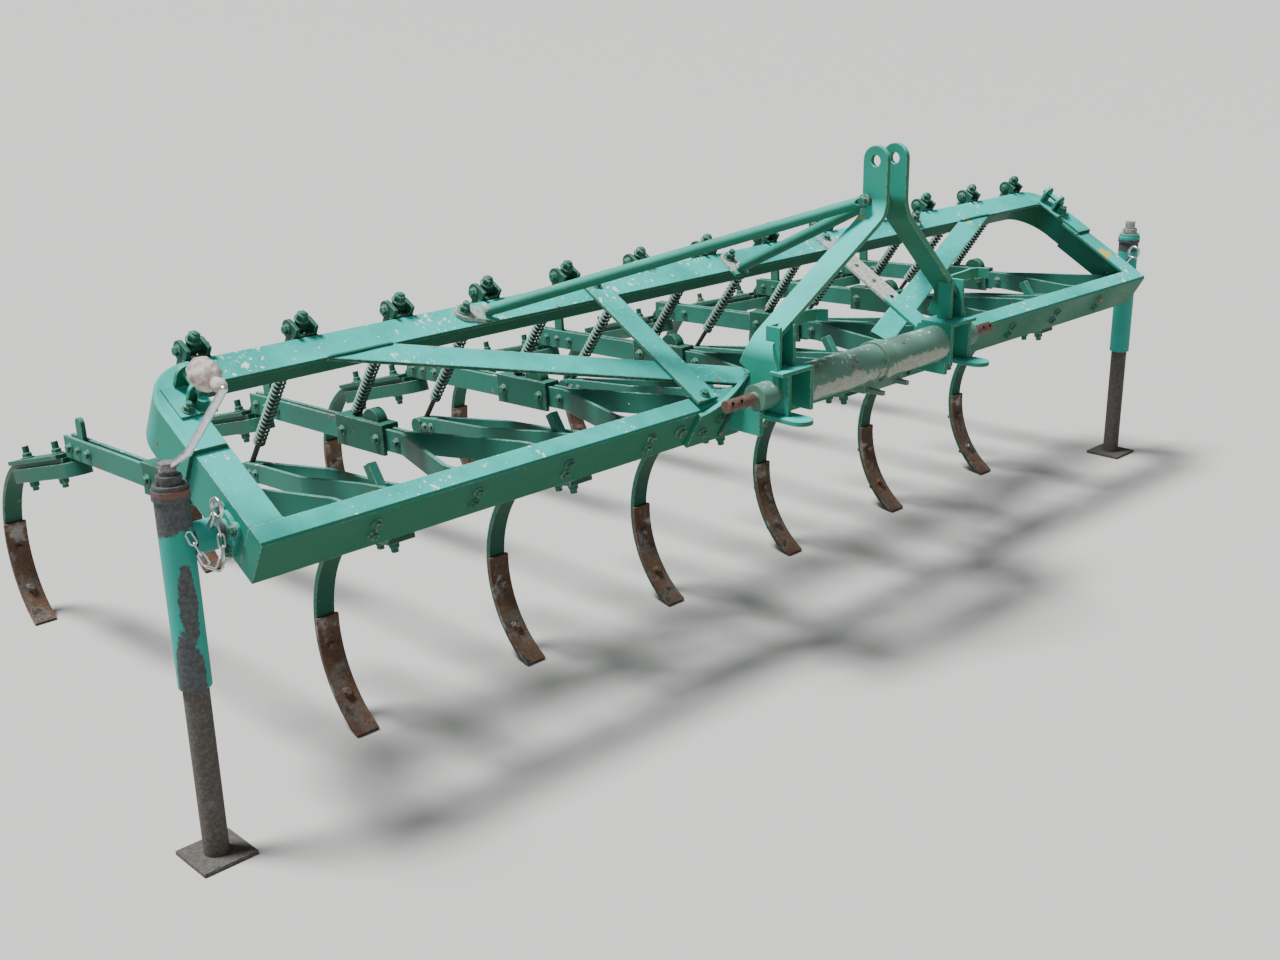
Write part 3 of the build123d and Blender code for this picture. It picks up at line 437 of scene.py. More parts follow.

# Paints, each with its colour in the shade, darker and greener as painted shade and painted reflection, its
# pale top colour, partly bleaching and partly painted sunlight, and how worn it is
shadedTurquoise, chalkyAndSunlit = (0.008, 0.14, 0.075), (0.035, 0.54, 0.48)
paints = {
    "framePaint": {
        "Paint": shadedTurquoise, "ChalkAndSunlight": chalkyAndSunlit, "Fade": 0.95,
        "Chips": 0.25, "Specks": 0.75, "Lichen": 0.15, "Grime": 0.2},
    "railPaint": {
        "Paint": shadedTurquoise, "ChalkAndSunlight": chalkyAndSunlit, "Fade": 0.9,
        "Chips": 0.3, "Specks": 1.1, "Lichen": 0.5, "Grime": 0.25},
    "mastPaint": {
        "Paint": (0.012, 0.16, 0.085), "ChalkAndSunlight": chalkyAndSunlit, "Fade": 0.95,
        "Chips": 0.1, "Specks": 0.3, "Lichen": 0.08, "Grime": 0.12},
    "armPaint": {
        "Paint": (0.009, 0.12, 0.075), "ChalkAndSunlight": (0.06, 0.33, 0.27), "Fade": 0.85,
        "Chips": 0.3, "Specks": 0.7, "Lichen": 0.15, "Grime": 0.4},
    # castings: darker paint, partly their own tone and partly painted shade under the frame
    "castPaint": {
        "Paint": (0.007, 0.08, 0.048), "ChalkAndSunlight": (0.025, 0.19, 0.14), "Fade": 0.8,
        "Chips": 0.35, "Specks": 0.4, "Lichen": 0.2, "Grime": 0.55},
    "bracePaint": {
        "Paint": (0.012, 0.18, 0.11), "ChalkAndSunlight": (0.06, 0.4, 0.33), "Fade": 0.85,
        "Chips": 0.3, "Specks": 0.5, "Lichen": 0.12, "Grime": 0.25},
    "tubePaint": {
        "Paint": (0.08, 0.19, 0.14), "ChalkAndSunlight": (0.17, 0.34, 0.28), "Fade": 0.8,
        "Chips": 0.5, "Specks": 0.8, "Lichen": 0.3, "Grime": 0.3},
    "jackPaint": {
        "Paint": (0.014, 0.3, 0.24), "ChalkAndSunlight": (0.04, 0.46, 0.41), "Fade": 0.85,
        "Chips": 0.15, "Specks": 0.25, "Lichen": 0.0, "Grime": 0.15},
    "boltPaint": {
        "Paint": (0.009, 0.11, 0.065), "ChalkAndSunlight": (0.04, 0.24, 0.18), "Fade": 0.85,
        "Chips": 0.5, "Specks": 0.5, "Lichen": 0.15, "Grime": 0.4},
    # spring paint: near-black wire with pale tops, painted shade between the coils and painted sunlight on
    # the tops
    "springShadeAndSunPaint": {
        "Paint": (0.007, 0.028, 0.02), "ChalkAndSunlight": (0.27, 0.46, 0.38), "Fade": 0.95,
        "Chips": 0.3, "Specks": 0.0, "Lichen": 0.0, "Grime": 0.3},
}
metals = {
    "rustyPin": {"Steel": (0.2, 0.15, 0.12), "Rust": (0.15, 0.085, 0.06), "Rusting": 0.8},
    "soilSteel": {"Steel": (0.26, 0.24, 0.22), "Rust": (0.13, 0.07, 0.04), "Rusting": 0.62},
    # the spring rods are near-black, their own dark steel and painted shade inside the springs
    "darkRodSteelAndShade": {"Steel": (0.035, 0.05, 0.042), "Rust": (0.03, 0.03, 0.024), "Rusting": 0.7},
    "crankSteel": {"Steel": (0.82, 0.85, 0.88), "Rust": (0.3, 0.24, 0.18), "Rusting": 0.1},
    "zincPlate": {"Steel": (0.8, 0.83, 0.84), "Rust": (0.4, 0.36, 0.3), "Rusting": 0.1},
    "legSteel": {"Steel": (0.13, 0.14, 0.145), "Rust": (0.1, 0.095, 0.085), "Rusting": 0.75},
}
materials = {}


def blankMaterial(name):
    material = bpy.data.materials.new(name)
    material.use_nodes = True
    tree = material.node_tree
    coord = addNode(tree, "ShaderNodeTexCoord").outputs["Object"]
    materials[name] = material
    return tree, tree.nodes["Principled BSDF"], coord


# What the materials share: worn edges as (radius, gain), bump as (strength, distance), two-tone colours
surface = {
    "paintEdge": (0.003, 9.0),
    "stayEdge": (0.006, 10.0),
    "metalEdge": (0.0015, 4.0),
    "paintBump": (0.5, 0.0008),
    "metalBump": (0.6, 0.0006),
    "ragBump": (0.4, 0.0006),
    "bareScale": 120.0,
    # the pale bared-edge colour is partly wear and partly a painted highlight on rounded edges
    "bareEdgeAndHighlightColors": ((0.13, 0.15, 0.12), (0.5, 0.53, 0.48)),
    "zoneRoughness": 0.7,
    "paintSpecular": 0.28,
    "weaveScale": 900.0,
    "stainScale": 40.0,
    "ragColors": ((0.52, 0.47, 0.44), (0.25, 0.18, 0.16)),
    "ragRoughness": 0.92,
}


def bumpNode(tree, kind, reads):
    strength, distance = surface[kind]
    reads = {"Strength": strength, "Distance": distance, **reads}
    return addNode(tree, "ShaderNodeBump", reads).outputs[0]


def paintMaterial(name, look, zones=(), edge="paintEdge"):
    # zones: centre and half sizes in the model's axes, how ragged, two colours
    tree, shader, coord = blankMaterial(name)
    paint = placeGroup(tree, groups["paint"], {"Vector": coord, **look})
    radius, gain = surface[edge]
    worn = placeGroup(tree, groups["edge"], {"Vector": coord, "Radius": radius, "Gain": gain})
    fine = noiseNode(tree, coord, surface["bareScale"], 5.0, 0.7)
    # worn edges take the bared colours: partly bared metal, partly a painted highlight along the edges
    bare = mixColor(tree, stepNode(tree, fine, 0.42, 0.56), *surface["bareEdgeAndHighlightColors"])
    color = mixColor(tree, worn.outputs["Mask"], paint.outputs["Color"], bare)
    rough = paint.outputs["Roughness"]
    for centre, half, ragged, tones in zones:
        reads = {"Vector": coord, "Centre": centre, "Half": half, "Ragged": ragged}
        mask = placeGroup(tree, groups["zone"], reads).outputs["Mask"]
        bare = mixColor(tree, stepNode(tree, fine, 0.35, 0.62), *wornLooks[tones])
        color = mixColor(tree, mask, color, bare)
        rough = mathNode(tree, "MAXIMUM", rough, times(tree, mask, surface["zoneRoughness"]))
    reads = {"Height": paint.outputs["Height"], "Normal": worn.outputs["Normal"]}
    feedSocket(tree, shader.inputs["Base Color"], color)
    feedSocket(tree, shader.inputs["Roughness"], rough)
    feedSocket(tree, shader.inputs["Normal"], bumpNode(tree, "paintBump", reads))
    shader.inputs["Specular IOR Level"].default_value = surface["paintSpecular"]


def metalMaterial(name, look):
    tree, shader, coord = blankMaterial(name)
    metal = placeGroup(tree, groups["metal"], {"Vector": coord, **look})
    radius, gain = surface["metalEdge"]
    worn = placeGroup(tree, groups["edge"], {"Vector": coord, "Radius": radius, "Gain": gain})
    reads = {"Height": metal.outputs["Height"], "Normal": worn.outputs["Normal"]}
    feedSocket(tree, shader.inputs["Base Color"], metal.outputs["Color"])
    feedSocket(tree, shader.inputs["Roughness"], metal.outputs["Roughness"])
    feedSocket(tree, shader.inputs["Metallic"], metal.outputs["Metallic"])
    feedSocket(tree, shader.inputs["Normal"], bumpNode(tree, "metalBump", reads))


def ragMaterial(name):
    # stained cloth with a fine weave of cells
    tree, shader, coord = blankMaterial(name)
    weave = addNode(tree, "ShaderNodeTexVoronoi", {"Vector": coord, "Scale": surface["weaveScale"]})
    stain = noiseNode(tree, coord, surface["stainScale"], 5.0, 0.6)
    color = mixColor(tree, stepNode(tree, stain, 0.4, 0.65), *surface["ragColors"])
    bump = bumpNode(tree, "ragBump", {"Height": weave.outputs["Distance"]})
    feedSocket(tree, shader.inputs["Base Color"], color)
    feedSocket(tree, shader.inputs["Normal"], bump)
    shader.inputs["Roughness"].default_value = surface["ragRoughness"]


# Bare or dirty places on the paint, as two mixed colours
wornLooks = {
    "pale": ((0.5, 0.5, 0.44), (0.2, 0.3, 0.26)),
    "bird": ((0.56, 0.57, 0.52), (0.3, 0.34, 0.3)),
    "brown": ((0.22, 0.25, 0.2), (0.31, 0.34, 0.28)),
    "dark": ((0.085, 0.098, 0.1), (0.055, 0.058, 0.06)),
    "dusty": ((0.36, 0.37, 0.35), (0.16, 0.16, 0.15)),
    "hub": ((0.26, 0.25, 0.25), (0.12, 0.11, 0.11)),
    "pinRust": ((0.15, 0.09, 0.072), (0.09, 0.05, 0.038)),
    "redRust": ((0.2, 0.075, 0.05), (0.1, 0.08, 0.07)),
}


def wornPlace(look, centre, half, ragged=0.35):
    return tuple(float(c) for c in centre), half, ragged, look


def jackPlace(look, side, dx, dy, z, half, ragged):
    # off the axis of a jack's tube
    centre = rowPoint(side * layout["jackX"] + dx, layout["jackY"] + dy, z)
    return wornPlace(look, centre, half, ragged)


braceEnds = ((-0.812, 0.434), (0.032, 0.428), (0.83, 0.43))
wornPlaces = {
    "braceWorn": [wornPlace("pale", frameSpot(x, y, 0.02), (0.05, 0.05, 0.05)) for x, y in braceEnds],
    "stayWorn": [wornPlace("bird", frameSpot(0.425, 0.3, 0.017), (0.13, 0.13, 0.13), 0.3)],
    "tubeWorn": [
        wornPlace("brown", (-0.15, -0.028, -0.492), (0.17, 0.03, 0.028), 0.5),
        wornPlace("brown", (0.14, -0.025, -0.492), (0.17, 0.028, 0.026), 0.5),
    ],
    # the left jack's head is bare, its sleeve rubbed, and a stripe down its tube has lost the paint
    "jackTubeLeft": [
        jackPlace("dark", -1, -0.012, 0, 0.135, (0.09, 0.09, 0.115), 0.1),
        jackPlace("redRust", -1, 0, -0.02, 0.098, (0.036, 0.03, 0.007), 0.6),
        jackPlace("hub", -1, 0, 0, 0.16, (0.026, 0.026, 0.034), 0.15),
        jackPlace("dark", -1, -0.006, -0.03, -0.105, (0.017, 0.02, 0.078), 0.3),
        jackPlace("dark", -1, -0.02, -0.022, -0.245, (0.031, 0.022, 0.09), 0.2),
    ],
    "jackTubeRight": [
        jackPlace("dark", 1, 0, 0, 0.075, (0.06, 0.06, 0.022), 0.12),
        jackPlace("dusty", 1, 0, 0, 0.16, (0.06, 0.06, 0.055), 0.1),
    ],
    "jackStub": [jackPlace("dark", -1, 0.059, 0, 0.004, (0.028, 0.045, 0.042), 0.15)],
    # the link pins have lost their paint, their shoulders keep it
    "linkPinPaint": [
        wornPlace("pinRust", (side * 0.462, 0.0285, -0.473), (0.052, 0.03, 0.03), 0.06) for side in (-1, 1)
    ],
}
paintOf = {
    "braceWorn": "bracePaint",
    "stayWorn": "framePaint",
    "tubeWorn": "tubePaint",
    "jackTubeLeft": "jackPaint",
    "jackTubeRight": "jackPaint",
    "jackStub": "jackPaint",
    "linkPinPaint": "tubePaint",
}
for name in ("framePaint", "railPaint", "mastPaint", "armPaint", "castPaint", "boltPaint", "springShadeAndSunPaint"):
    paintMaterial(name, paints[name])
paintMaterial("stayPaint", paints["framePaint"], edge="stayEdge")
for name, zones in wornPlaces.items():
    paintMaterial(name, paints[paintOf[name]], zones)
for name, look in metals.items():
    metalMaterial(name, look)
ragMaterial("ragCloth")
print("materials made:", len(materials))

# Finish of each piece that comes from the frame
nodeFinish = {
    "framePaint": ["front_beam", "side_rail_left", "rear_beam", "rear_corner_left", "rear_corner_right",
                   "corner_lugs", "mast_gussets"],
    "railPaint": ["side_rail_right"],
    "stayPaint": ["diagonal_stay_left", "diagonal_stay_right", "cross_stay_left"],
    "mastPaint": ["mast_plate_left", "mast_plate_right", "hitch_bracket_left", "hitch_bracket_right",
                  "hitch_tabs"],
    "stayWorn": ["cross_stay_right"],
    "braceWorn": ["brace_left", "brace_middle", "brace_right"],
    "tubeWorn": ["cross_tube"],
    "armPaint": ["long_bars_left", "long_bars_right", "short_bars_left", "short_bars_right", "arm_stops",
                 "arm_fingers"],
    "castPaint": ["spring_seats", "short_arm_ends", "tine_holders", "tine_clamps", "rod_ears", "trunnions",
                  "pivot_brackets", "rear_tines", "front_tines"],
    "springShadeAndSunPaint": ["springs"],
    "jackStub": ["jack_stubs"],
    "jackTubeLeft": ["jack_tube_left"],
    "jackTubeRight": ["jack_tube_right"],
    "legSteel": ["jack_leg_left", "jack_leg_right"],
    "linkPinPaint": ["link_pins"],
    "rustyPin": ["brace_pin"],
    "soilSteel": ["tine_points"],
    "darkRodSteelAndShade": ["spring_rods", "pivot_shaft"],
    "crankSteel": ["jack_crank"],
    "zincPlate": ["lock_pin_left", "lock_pin_right"],
    "ragCloth": ["crank_grip"],
}


def dressNodes():
    finishOf = {node: finish for finish, names in nodeFinish.items() for node in names}
    for name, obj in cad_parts.items():
        finish = finishOf[name]
        obj.data.materials.clear()
        obj.data.materials.append(materials[finish])


dressNodes()
print("frame pieces finished")


# Shapes are (points, face arrays): each face array holds faces with one count of corners
def gridShape(points, closeRows=False):
    # rows of points, each a closed ring; the rows close on each other, or the two end rings are filled
    rows, cols = points.shape[:2]
    r = np.arange(rows if closeRows else rows - 1)[:, None]
    c = np.arange(cols)[None, :]
    nextR, nextC = (r + 1) % rows, (c + 1) % cols
    quads = np.stack([r * cols + c, r * cols + nextC, nextR * cols + nextC, nextR * cols + c], axis=-1)
    faces = [quads.reshape(-1, 4)]
    if not closeRows:
        faces.append(np.arange(cols)[::-1][None, :])
        faces.append(((rows - 1) * cols + np.arange(cols))[None, :])
    return points.reshape(-1, 3), faces


def joinShapes(shapes):
    points, faces, start = [], [], 0
    for part, partFaces in shapes:
        points.append(part)
        faces += [array + start for array in partFaces]
        start += len(part)
    return np.concatenate(points), faces


def stampShape(shape, places):
    # one shape copied to every 4x4 place
    points, faces = shape
    places = np.array(places)
    moved = np.einsum("kij,nj->kni", places[:, :3, :3], points) + places[:, None, :3, 3]
    step = (np.arange(len(places)) * len(points))[:, None, None]
    return moved.reshape(-1, 3), [(array[None] + step).reshape(-1, array.shape[1]) for array in faces]


def ringAngles(sides):
    return np.arange(sides) * 2 * np.pi / sides


def tubeShape(line, radius, outward, sideways, sides, flip=True, closeRows=False):
    # a round wire: at each point of the line a circle in the plane of the two directions, its points
    # in reverse where the faces would point inwards
    ring = ringAngles(sides)[None, :, None]
    points = line[:, None] + radius * (np.cos(ring) * outward + np.sin(ring) * sideways)
    return gridShape(points[:, ::-1] if flip else points, closeRows)


def addPiece(name, shape, finish, body, sharp=35.0):
    points, faces = shape
    mesh = bpy.data.meshes.new(name)
    mesh.from_pydata(points.tolist(), [], [face for array in faces for face in array.tolist()])
    mesh.materials.append(materials[finish])
    mesh.shade_smooth()
    mesh.set_sharp_from_angle(angle=math.radians(sharp))
    piece = bpy.data.objects.new(name, mesh)
    bpy.context.scene.collection.objects.link(piece)
    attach(piece, body)
    return piece


def latheShape(profile, sides):
    # a profile of (radius, height) carried round the Z axis
    profile = np.array(profile)
    angle = ringAngles(sides)
    radius = np.repeat(profile[:, :1], sides, axis=1)
    height = np.repeat(profile[:, 1:], sides, axis=1)
    return gridShape(np.stack([radius * np.cos(angle), radius * np.sin(angle), height], axis=-1))


# Shares of a bolt's own sizes: where each rim starts and how far it draws in
boltForm = {
    "washerSides": 14,
    "washerRim": 0.8,
    "washerSlope": 0.3,
    "sunk": 0.9,
    "headRim": 0.78,
    "headTop": 0.84,
    "studSides": 8,
    "studRim": 0.85,
    "studTop": 0.8,
}


def boltShape(corners, tall, washer, thick):
    # washer under a six-sided head with a worn top rim
    form, half, top = boltForm, corners / 2, thick + tall
    rim = washer - thick * form["washerSlope"]
    ring = latheShape([(washer, 0), (washer, thick * form["washerRim"]), (rim, thick)], form["washerSides"])
    sunk, shoulder = thick * form["sunk"], thick + tall * form["headRim"]
    return joinShapes([ring, latheShape([(half, sunk), (half, shoulder), (half * form["headTop"], top)], 6)])


def nutShape(corners, tall, washer, thick, stud, reach):
    # a nut with the end of its bolt standing out of it
    form, top = boltForm, thick + tall
    sunk, rim = thick + tall * form["sunk"], top + reach * form["studRim"]
    end = latheShape([(stud, sunk), (stud, rim), (stud * form["studTop"], top + reach)], form["studSides"])
    return joinShapes([boltShape(corners, tall, washer, thick), end])


def coilShape(coil):
    # helix of the given wire whose end turns lie close; angle and height along it are whole arrays
    turns, ends, wire = coil["turns"], coil["endTurns"], coil["wire"]
    turn = np.linspace(0, turns, int(turns * coil["perTurn"]) + 1)
    close = wire * coil["closePitch"]
    middle = (coil["end"] - coil["start"] - 2 * wire - 2 * ends * close) / (turns - 2 * ends)
    low, high = ends * close, ends * close + middle * (turns - 2 * ends)
    knots = np.array([0, ends, turns - ends, turns])
    heights = np.array([0, low, high, 2 * ends * close + middle * (turns - 2 * ends)])
    angle = turn * 2 * np.pi
    outward = np.stack([np.cos(angle), np.sin(angle), np.zeros(len(turn))], axis=-1)
    line = outward * coil["radius"]
    line[:, 2] = -(coil["start"] + wire + np.interp(turn, knots, heights))
    along = np.gradient(line, axis=0)
    along /= np.linalg.norm(along, axis=1)[:, None]
    across = np.cross(along, outward)
    return tubeShape(line, wire, outward[:, None], across[:, None], coil["sides"])


def rodLine(index):
    # lean of a spring rod against the frame, and how far its arm is from the trunnion
    slope = math.radians(layout["shortSlope" if index % 2 else "longSlope"])
    along = layout["shortRod" if index % 2 else "longRod"]
    top = tilted @ np.array([0, *layout["rodPlace"]])
    run = layout["pivot"][0] + along * math.cos(slope) - top[1]
    drop = top[2] - layout["pivot"][1] + along * math.sin(slope)
    return math.degrees(math.atan2(run, drop)) - layout["tilt"], math.hypot(run, drop)


def rodPlaces(indexes):
    return [framePlace(tineX(i), *layout["rodPlace"], spin=turnX(rodLine(i)[0])) for i in indexes]


# Coil springs: wire radius, coil radius at its middle, reach along the rod
springs = {
    "wire": 0.0029,
    "radius": 0.0113,
    "endTurns": 1.2,
    "turns": 28,
    "perTurn": 14,
    "closePitch": 2.04,
    "sides": 7,
    "start": 0.0163,
    "longShort": 0.0552,
    "shortShort": 0.0922,
}


def addSprings():
    parts = []
    for first, short in ((0, springs["longShort"]), (1, springs["shortShort"])):
        indexes = range(first, layout["tineCount"], 2)
        coil = coilShape({**springs, "end": rodLine(first)[1] - short})
        parts.append(stampShape(coil, rodPlaces(indexes)))
    piece = addPiece("coilSprings", joinShapes(parts), "springShadeAndSunPaint", "frame", 60)
    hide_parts("springs")


addSprings()
print("springs wound")


# Bolts and nuts: across the corners, height, washer radius and thickness; nuts add the bolt end's
# radius and reach
boltKinds = {
    "m12": boltShape(0.019, 0.008, 0.0125, 0.0025),
    "m16": boltShape(0.024, 0.010, 0.0155, 0.003),
    "m10": boltShape(0.016, 0.0065, 0.0105, 0.002),
    "nut12": nutShape(0.019, 0.010, 0.0125, 0.0025, 0.006, 0.007),
    "nut16": nutShape(0.024, 0.013, 0.0155, 0.003, 0.008, 0.010),
    "rodNut": nutShape(0.026, 0.014, 0.0155, 0.003, 0.0062, 0.004),
}
forward, leftward, rightward, downward = turnX(90), turnY(-90), turnY(90), turnX(180)
placed = {kind: [] for kind in boltKinds}
soiled = {"m12": [], "nut12": []}


def leanPlace(index, start, degrees, spot, spin):
    # on a tine's arm or holder, which slopes down to the rear from its start
    slope = turnX(-degrees)
    base = np.array([tineX(index), *start])
    return uprightPlace(*(base + slope @ np.array(spot)), slope @ spin)


def armPlace(index, x, y, z, spin=np.eye(3)):
    degrees = layout["shortSlope" if index % 2 else "longSlope"]
    return leanPlace(index, layout["pivot"], degrees, (x, y, z), spin)


def holderPlace(index, x, y, z, spin=np.eye(3)):
    return leanPlace(index, layout["holderStart"], layout["holderSlope"], (x, y, z), spin)


frameBolts = {
    "hangerHeights": (-0.037, -0.068),
    "hangerGap": (0.25, 0.47),
    "gussetFace": -0.01,
    "gussetBolts": ((0.39, -0.03), (0.43, -0.06)),
    "largeBolt": (0.5, -0.044),
    "stayEnds": ((0.425, 0.43), (0.425, 0.032)),
    "stayTop": 0.017,
    "padTop": 0.018,
    "mastFace": 0.058,
    "earReach": 0.026,
    "lugBolt": (1.515, 0.333, 0.014),
    "flangeFace": 1.558,
    "flangeMiddle": (0.10003, -0.05775),
    "flangeHalf": 0.0269,
}


def placeFrameBolts():
    gapStart, gapEnd = frameBolts["hangerGap"]
    for i in range(layout["tineCount"] - 1):
        x = (i - (layout["tineCount"] - 2) / 2) * layout["tinePitch"]
        if not gapStart < abs(x) < gapEnd:
            placed["m12"] += [framePlace(x, 0, z, forward) for z in frameBolts["hangerHeights"]]
    for side, outwards in ((-1, leftward), (1, rightward)):
        for x, z in frameBolts["gussetBolts"]:
            placed["m12"].append(framePlace(side * x, frameBolts["gussetFace"], z, forward))
        x, z = frameBolts["largeBolt"]
        placed["m16"].append(framePlace(side * x, 0, z, forward))
        for x, y in frameBolts["stayEnds"]:
            placed["m12"].append(framePlace(side * x, y, frameBolts["stayTop"]))
        y, z = frameBolts["flangeMiddle"]
        half = frameBolts["flangeHalf"]
        for dy in (-half, half):
            for dz in (-half, half):
                placed["m12"].append(framePlace(side * frameBolts["flangeFace"], y + dy, z + dz, outwards))
        x, y, z = frameBolts["lugBolt"]
        placed["nut12"].append(framePlace(side * x, y, z))
        placed["m16"].append(uprightPlace(side * frameBolts["mastFace"], *layout["bracePin"], outwards))
    for x, y in braceEnds:
        placed["nut16"].append(framePlace(x, y, frameBolts["padTop"]))
        placed["m16"].append(framePlace(x, y, 0.0, downward))


armBolts = {
    "rodNutLift": 0.0215,
    "seat": (0.022, (0.425, 0.56)),
    "longBars": (0.013, (0.36, 0.86, 0.955)),
    "stop": (0.013, 0.912),
    "shortBars": (0.016, (0.56, 0.585)),
    "finger": (0.018, 0.095),
    "holder": (0.11, 0.3),
    "holderUnder": -0.055,
    "clamp": ((0.08, -0.092), (0.13, -0.092)),
}


def placeArmBolts():
    for i in range(layout["tineCount"]):
        lift = placeAt(np.eye(3), (0, 0, armBolts["rodNutLift"]))
        placed["rodNut"].append(rodPlaces([i])[0] @ lift)
        for side, spin in ((-1, leftward), (1, rightward)):
            y, z = layout["rodPlace"]
            placed["m12"].append(framePlace(tineX(i) + side * frameBolts["earReach"], y, z, spin))
            if i % 2 == 0:
                for key in ("seat", "longBars"):
                    x, spots = armBolts[key]
                    placed["m12"] += [armPlace(i, side * x, y, 0, spin) for y in spots]
                x, y = armBolts["stop"]
                placed["m10"].append(armPlace(i, side * x, y, 0, spin))
            else:
                x, spots = armBolts["shortBars"]
                placed["m10"] += [armPlace(i, side * x, y, 0, spin) for y in spots]
                x, y = armBolts["finger"]
                placed["m12"].append(armPlace(i, side * x, y, 0, spin))
        if i % 2 == 0:
            for y in armBolts["holder"]:
                placed["m16"].append(holderPlace(i, 0, y, 0))
                placed["nut16"].append(holderPlace(i, 0, y, armBolts["holderUnder"], downward))
        else:
            for y, z in armBolts["clamp"]:
                placed["nut16"].append(armPlace(i, 0, y, z, downward))


def circleOf(a, b, c):
    # centre and radius of the circle through three (y, z) points
    rows = 2 * np.array([[b[0] - a[0], b[1] - a[1]], [c[0] - a[0], c[1] - a[1]]])
    a, b, c = np.array(a), np.array(b), np.array(c)
    centre = np.linalg.solve(rows, np.array([b @ b - a @ a, c @ c - a @ a]))
    return centre, np.hypot(*(a - centre))


tineCurves = {
    "rear": {"belly": (1.5, -0.4), "tip": (1.415, -0.606), "root": ("holder", 0.355, -0.016)},
    "front": {"belly": (0.425, -0.33), "tip": (0.33, -0.606), "root": ("arm", 0.148, -0.076)},
    "leaf": 0.012,
    "shoe": 0.008,
    "boltsUp": (0.105, 0.215),
}


def placePointBolts():
    for i in range(layout["tineCount"]):
        curve = tineCurves["rear" if i % 2 == 0 else "front"]
        kind, y, z = curve["root"]
        root = (holderPlace if kind == "holder" else armPlace)(i, 0, y, z)[1:3, 3]
        root = root - np.array([layout["edgeY"], layout["edgeZ"]])
        centre, radius = circleOf(tuple(root), curve["belly"], curve["tip"])
        inner = radius - tineCurves["leaf"] / 2
        end = -math.asin((centre[1] - layout["ground"]) / inner)
        for up in tineCurves["boltsUp"]:
            angle = end + up / radius
            out = np.array([0, math.cos(angle), math.sin(angle)])
            face = np.array([tineX(i), *centre])
            spinIn, spinOut = turnX(90 + math.degrees(angle)), turnX(math.degrees(angle) - 90)
            soiled["m12"].append(uprightPlace(*(face + out * (inner - tineCurves["shoe"])), spinIn))
            soiled["nut12"].append(uprightPlace(*(face + out * (radius + tineCurves["leaf"] / 2)), spinOut))


placeFrameBolts()
placeArmBolts()
placePointBolts()
bolts = [stampShape(boltKinds[kind], places) for kind, places in placed.items() if places]
addPiece("boltsAndNuts", joinShapes(bolts), "boltPaint", "frame", 30)
bolts = [stampShape(boltKinds[kind], places) for kind, places in soiled.items()]
addPiece("pointBolts", joinShapes(bolts), "soilSteel", "frame", 30)
print("bolts set:", sum(len(places) for places in placed.values()))


# Weld beads: rippled seams from point to point on the right half, each with its mirror on the left
welds = {
    "radius": 0.0045,
    "ripple": 0.0052,
    "swell": 0.16,
    "endPower": 16,
    "thinnest": 0.02,
    "wander": 0.0008,
    "wanderLength": 0.021,
    "step": 0.0017,
    "sides": 7,
    "seams": (
        (frameSpot, (1.482, 0.239, 0.0), (1.558, 0.239, 0.0)),
        (frameSpot, (1.02, 0.394, 0.008), (1.18, 0.394, 0.008)),
        (frameSpot, (0.395, 0.394, 0.009), (0.457, 0.394, 0.009)),
        (frameSpot, (0.35, -0.0125, 0.02), (0.35, -0.0125, 0.095)),
        (frameSpot, (0.362, -0.0125, -0.09), (0.362, -0.0125, 0.095)),
        (rowPoint, (0.349, -0.159, 0.088), (0.349, -0.110, 0.088)),
        (frameSpot, (1.443, 0.466, 0.0), (1.443, 0.466, -0.09)),
    ),
    "earRadius": 0.0035,
    "earSeam": (0.0275, 0.4675, (-0.03, 0.006)),
}


def beadShape(start, end, radius):
    # a round bead whose radius swells once per ripple and closes at both ends
    length = np.linalg.norm(end - start)
    along = np.linspace(0, 1, max(int(length / welds["step"]), 4))
    axis = (end - start) / length
    helper = np.array([0, 0, 1]) if abs(axis[2]) < 0.8 else np.array([1, 0, 0])
    sideways = np.cross(axis, helper)
    sideways /= np.linalg.norm(sideways)
    up = np.cross(axis, sideways)
    swell = radius * (1 + welds["swell"] * np.sin(along * length / welds["ripple"] * 2 * np.pi))
    swell *= np.sqrt(np.clip(1 - (2 * along - 1) ** welds["endPower"], welds["thinnest"], 1))
    wander = welds["wander"] * np.sin(along * length / welds["wanderLength"])
    line = start + along[:, None] * (end - start) + wander[:, None] * sideways
    return tubeShape(line, swell[:, None, None], up, sideways, welds["sides"], flip=False)


def addWelds():
    seams = []
    for side in (-1, 1):
        for spotOf, (x, *start), (endX, *end) in welds["seams"]:
            seams.append(beadShape(spotOf(side * x, *start), spotOf(side * endX, *end), welds["radius"]))
        for index in range(layout["tineCount"]):
            out, y, heights = welds["earSeam"]
            start, end = (frameSpot(tineX(index) + side * out, y, z) for z in heights)
            seams.append(beadShape(start, end, welds["earRadius"]))
    addPiece("weldBeads", joinShapes(seams), "castPaint", "frame", 60)


addWelds()
print("weld beads run")


# The left jack's zinc chain and the rag round its crank grip
chain = {
    "wire": 0.0021,
    "wireSides": 7,
    "long": 0.0125,
    "wide": 0.0058,
    "linkSteps": 20,
    "spacing": 0.0208,
    "look": 0.004,
    "firstAcross": (0.3, 1.0, 0.1),
    "bell": 0.62,
    "route": (
        (-1.639, 0.077, 0.018), (-1.634, 0.064, -0.004), (-1.624, 0.056, -0.034), (-1.608, 0.053, -0.042),
        (-1.594, 0.056, -0.022), (-1.5885, 0.069, 0.012), (-1.5885, 0.0795, 0.036),
    ),
}


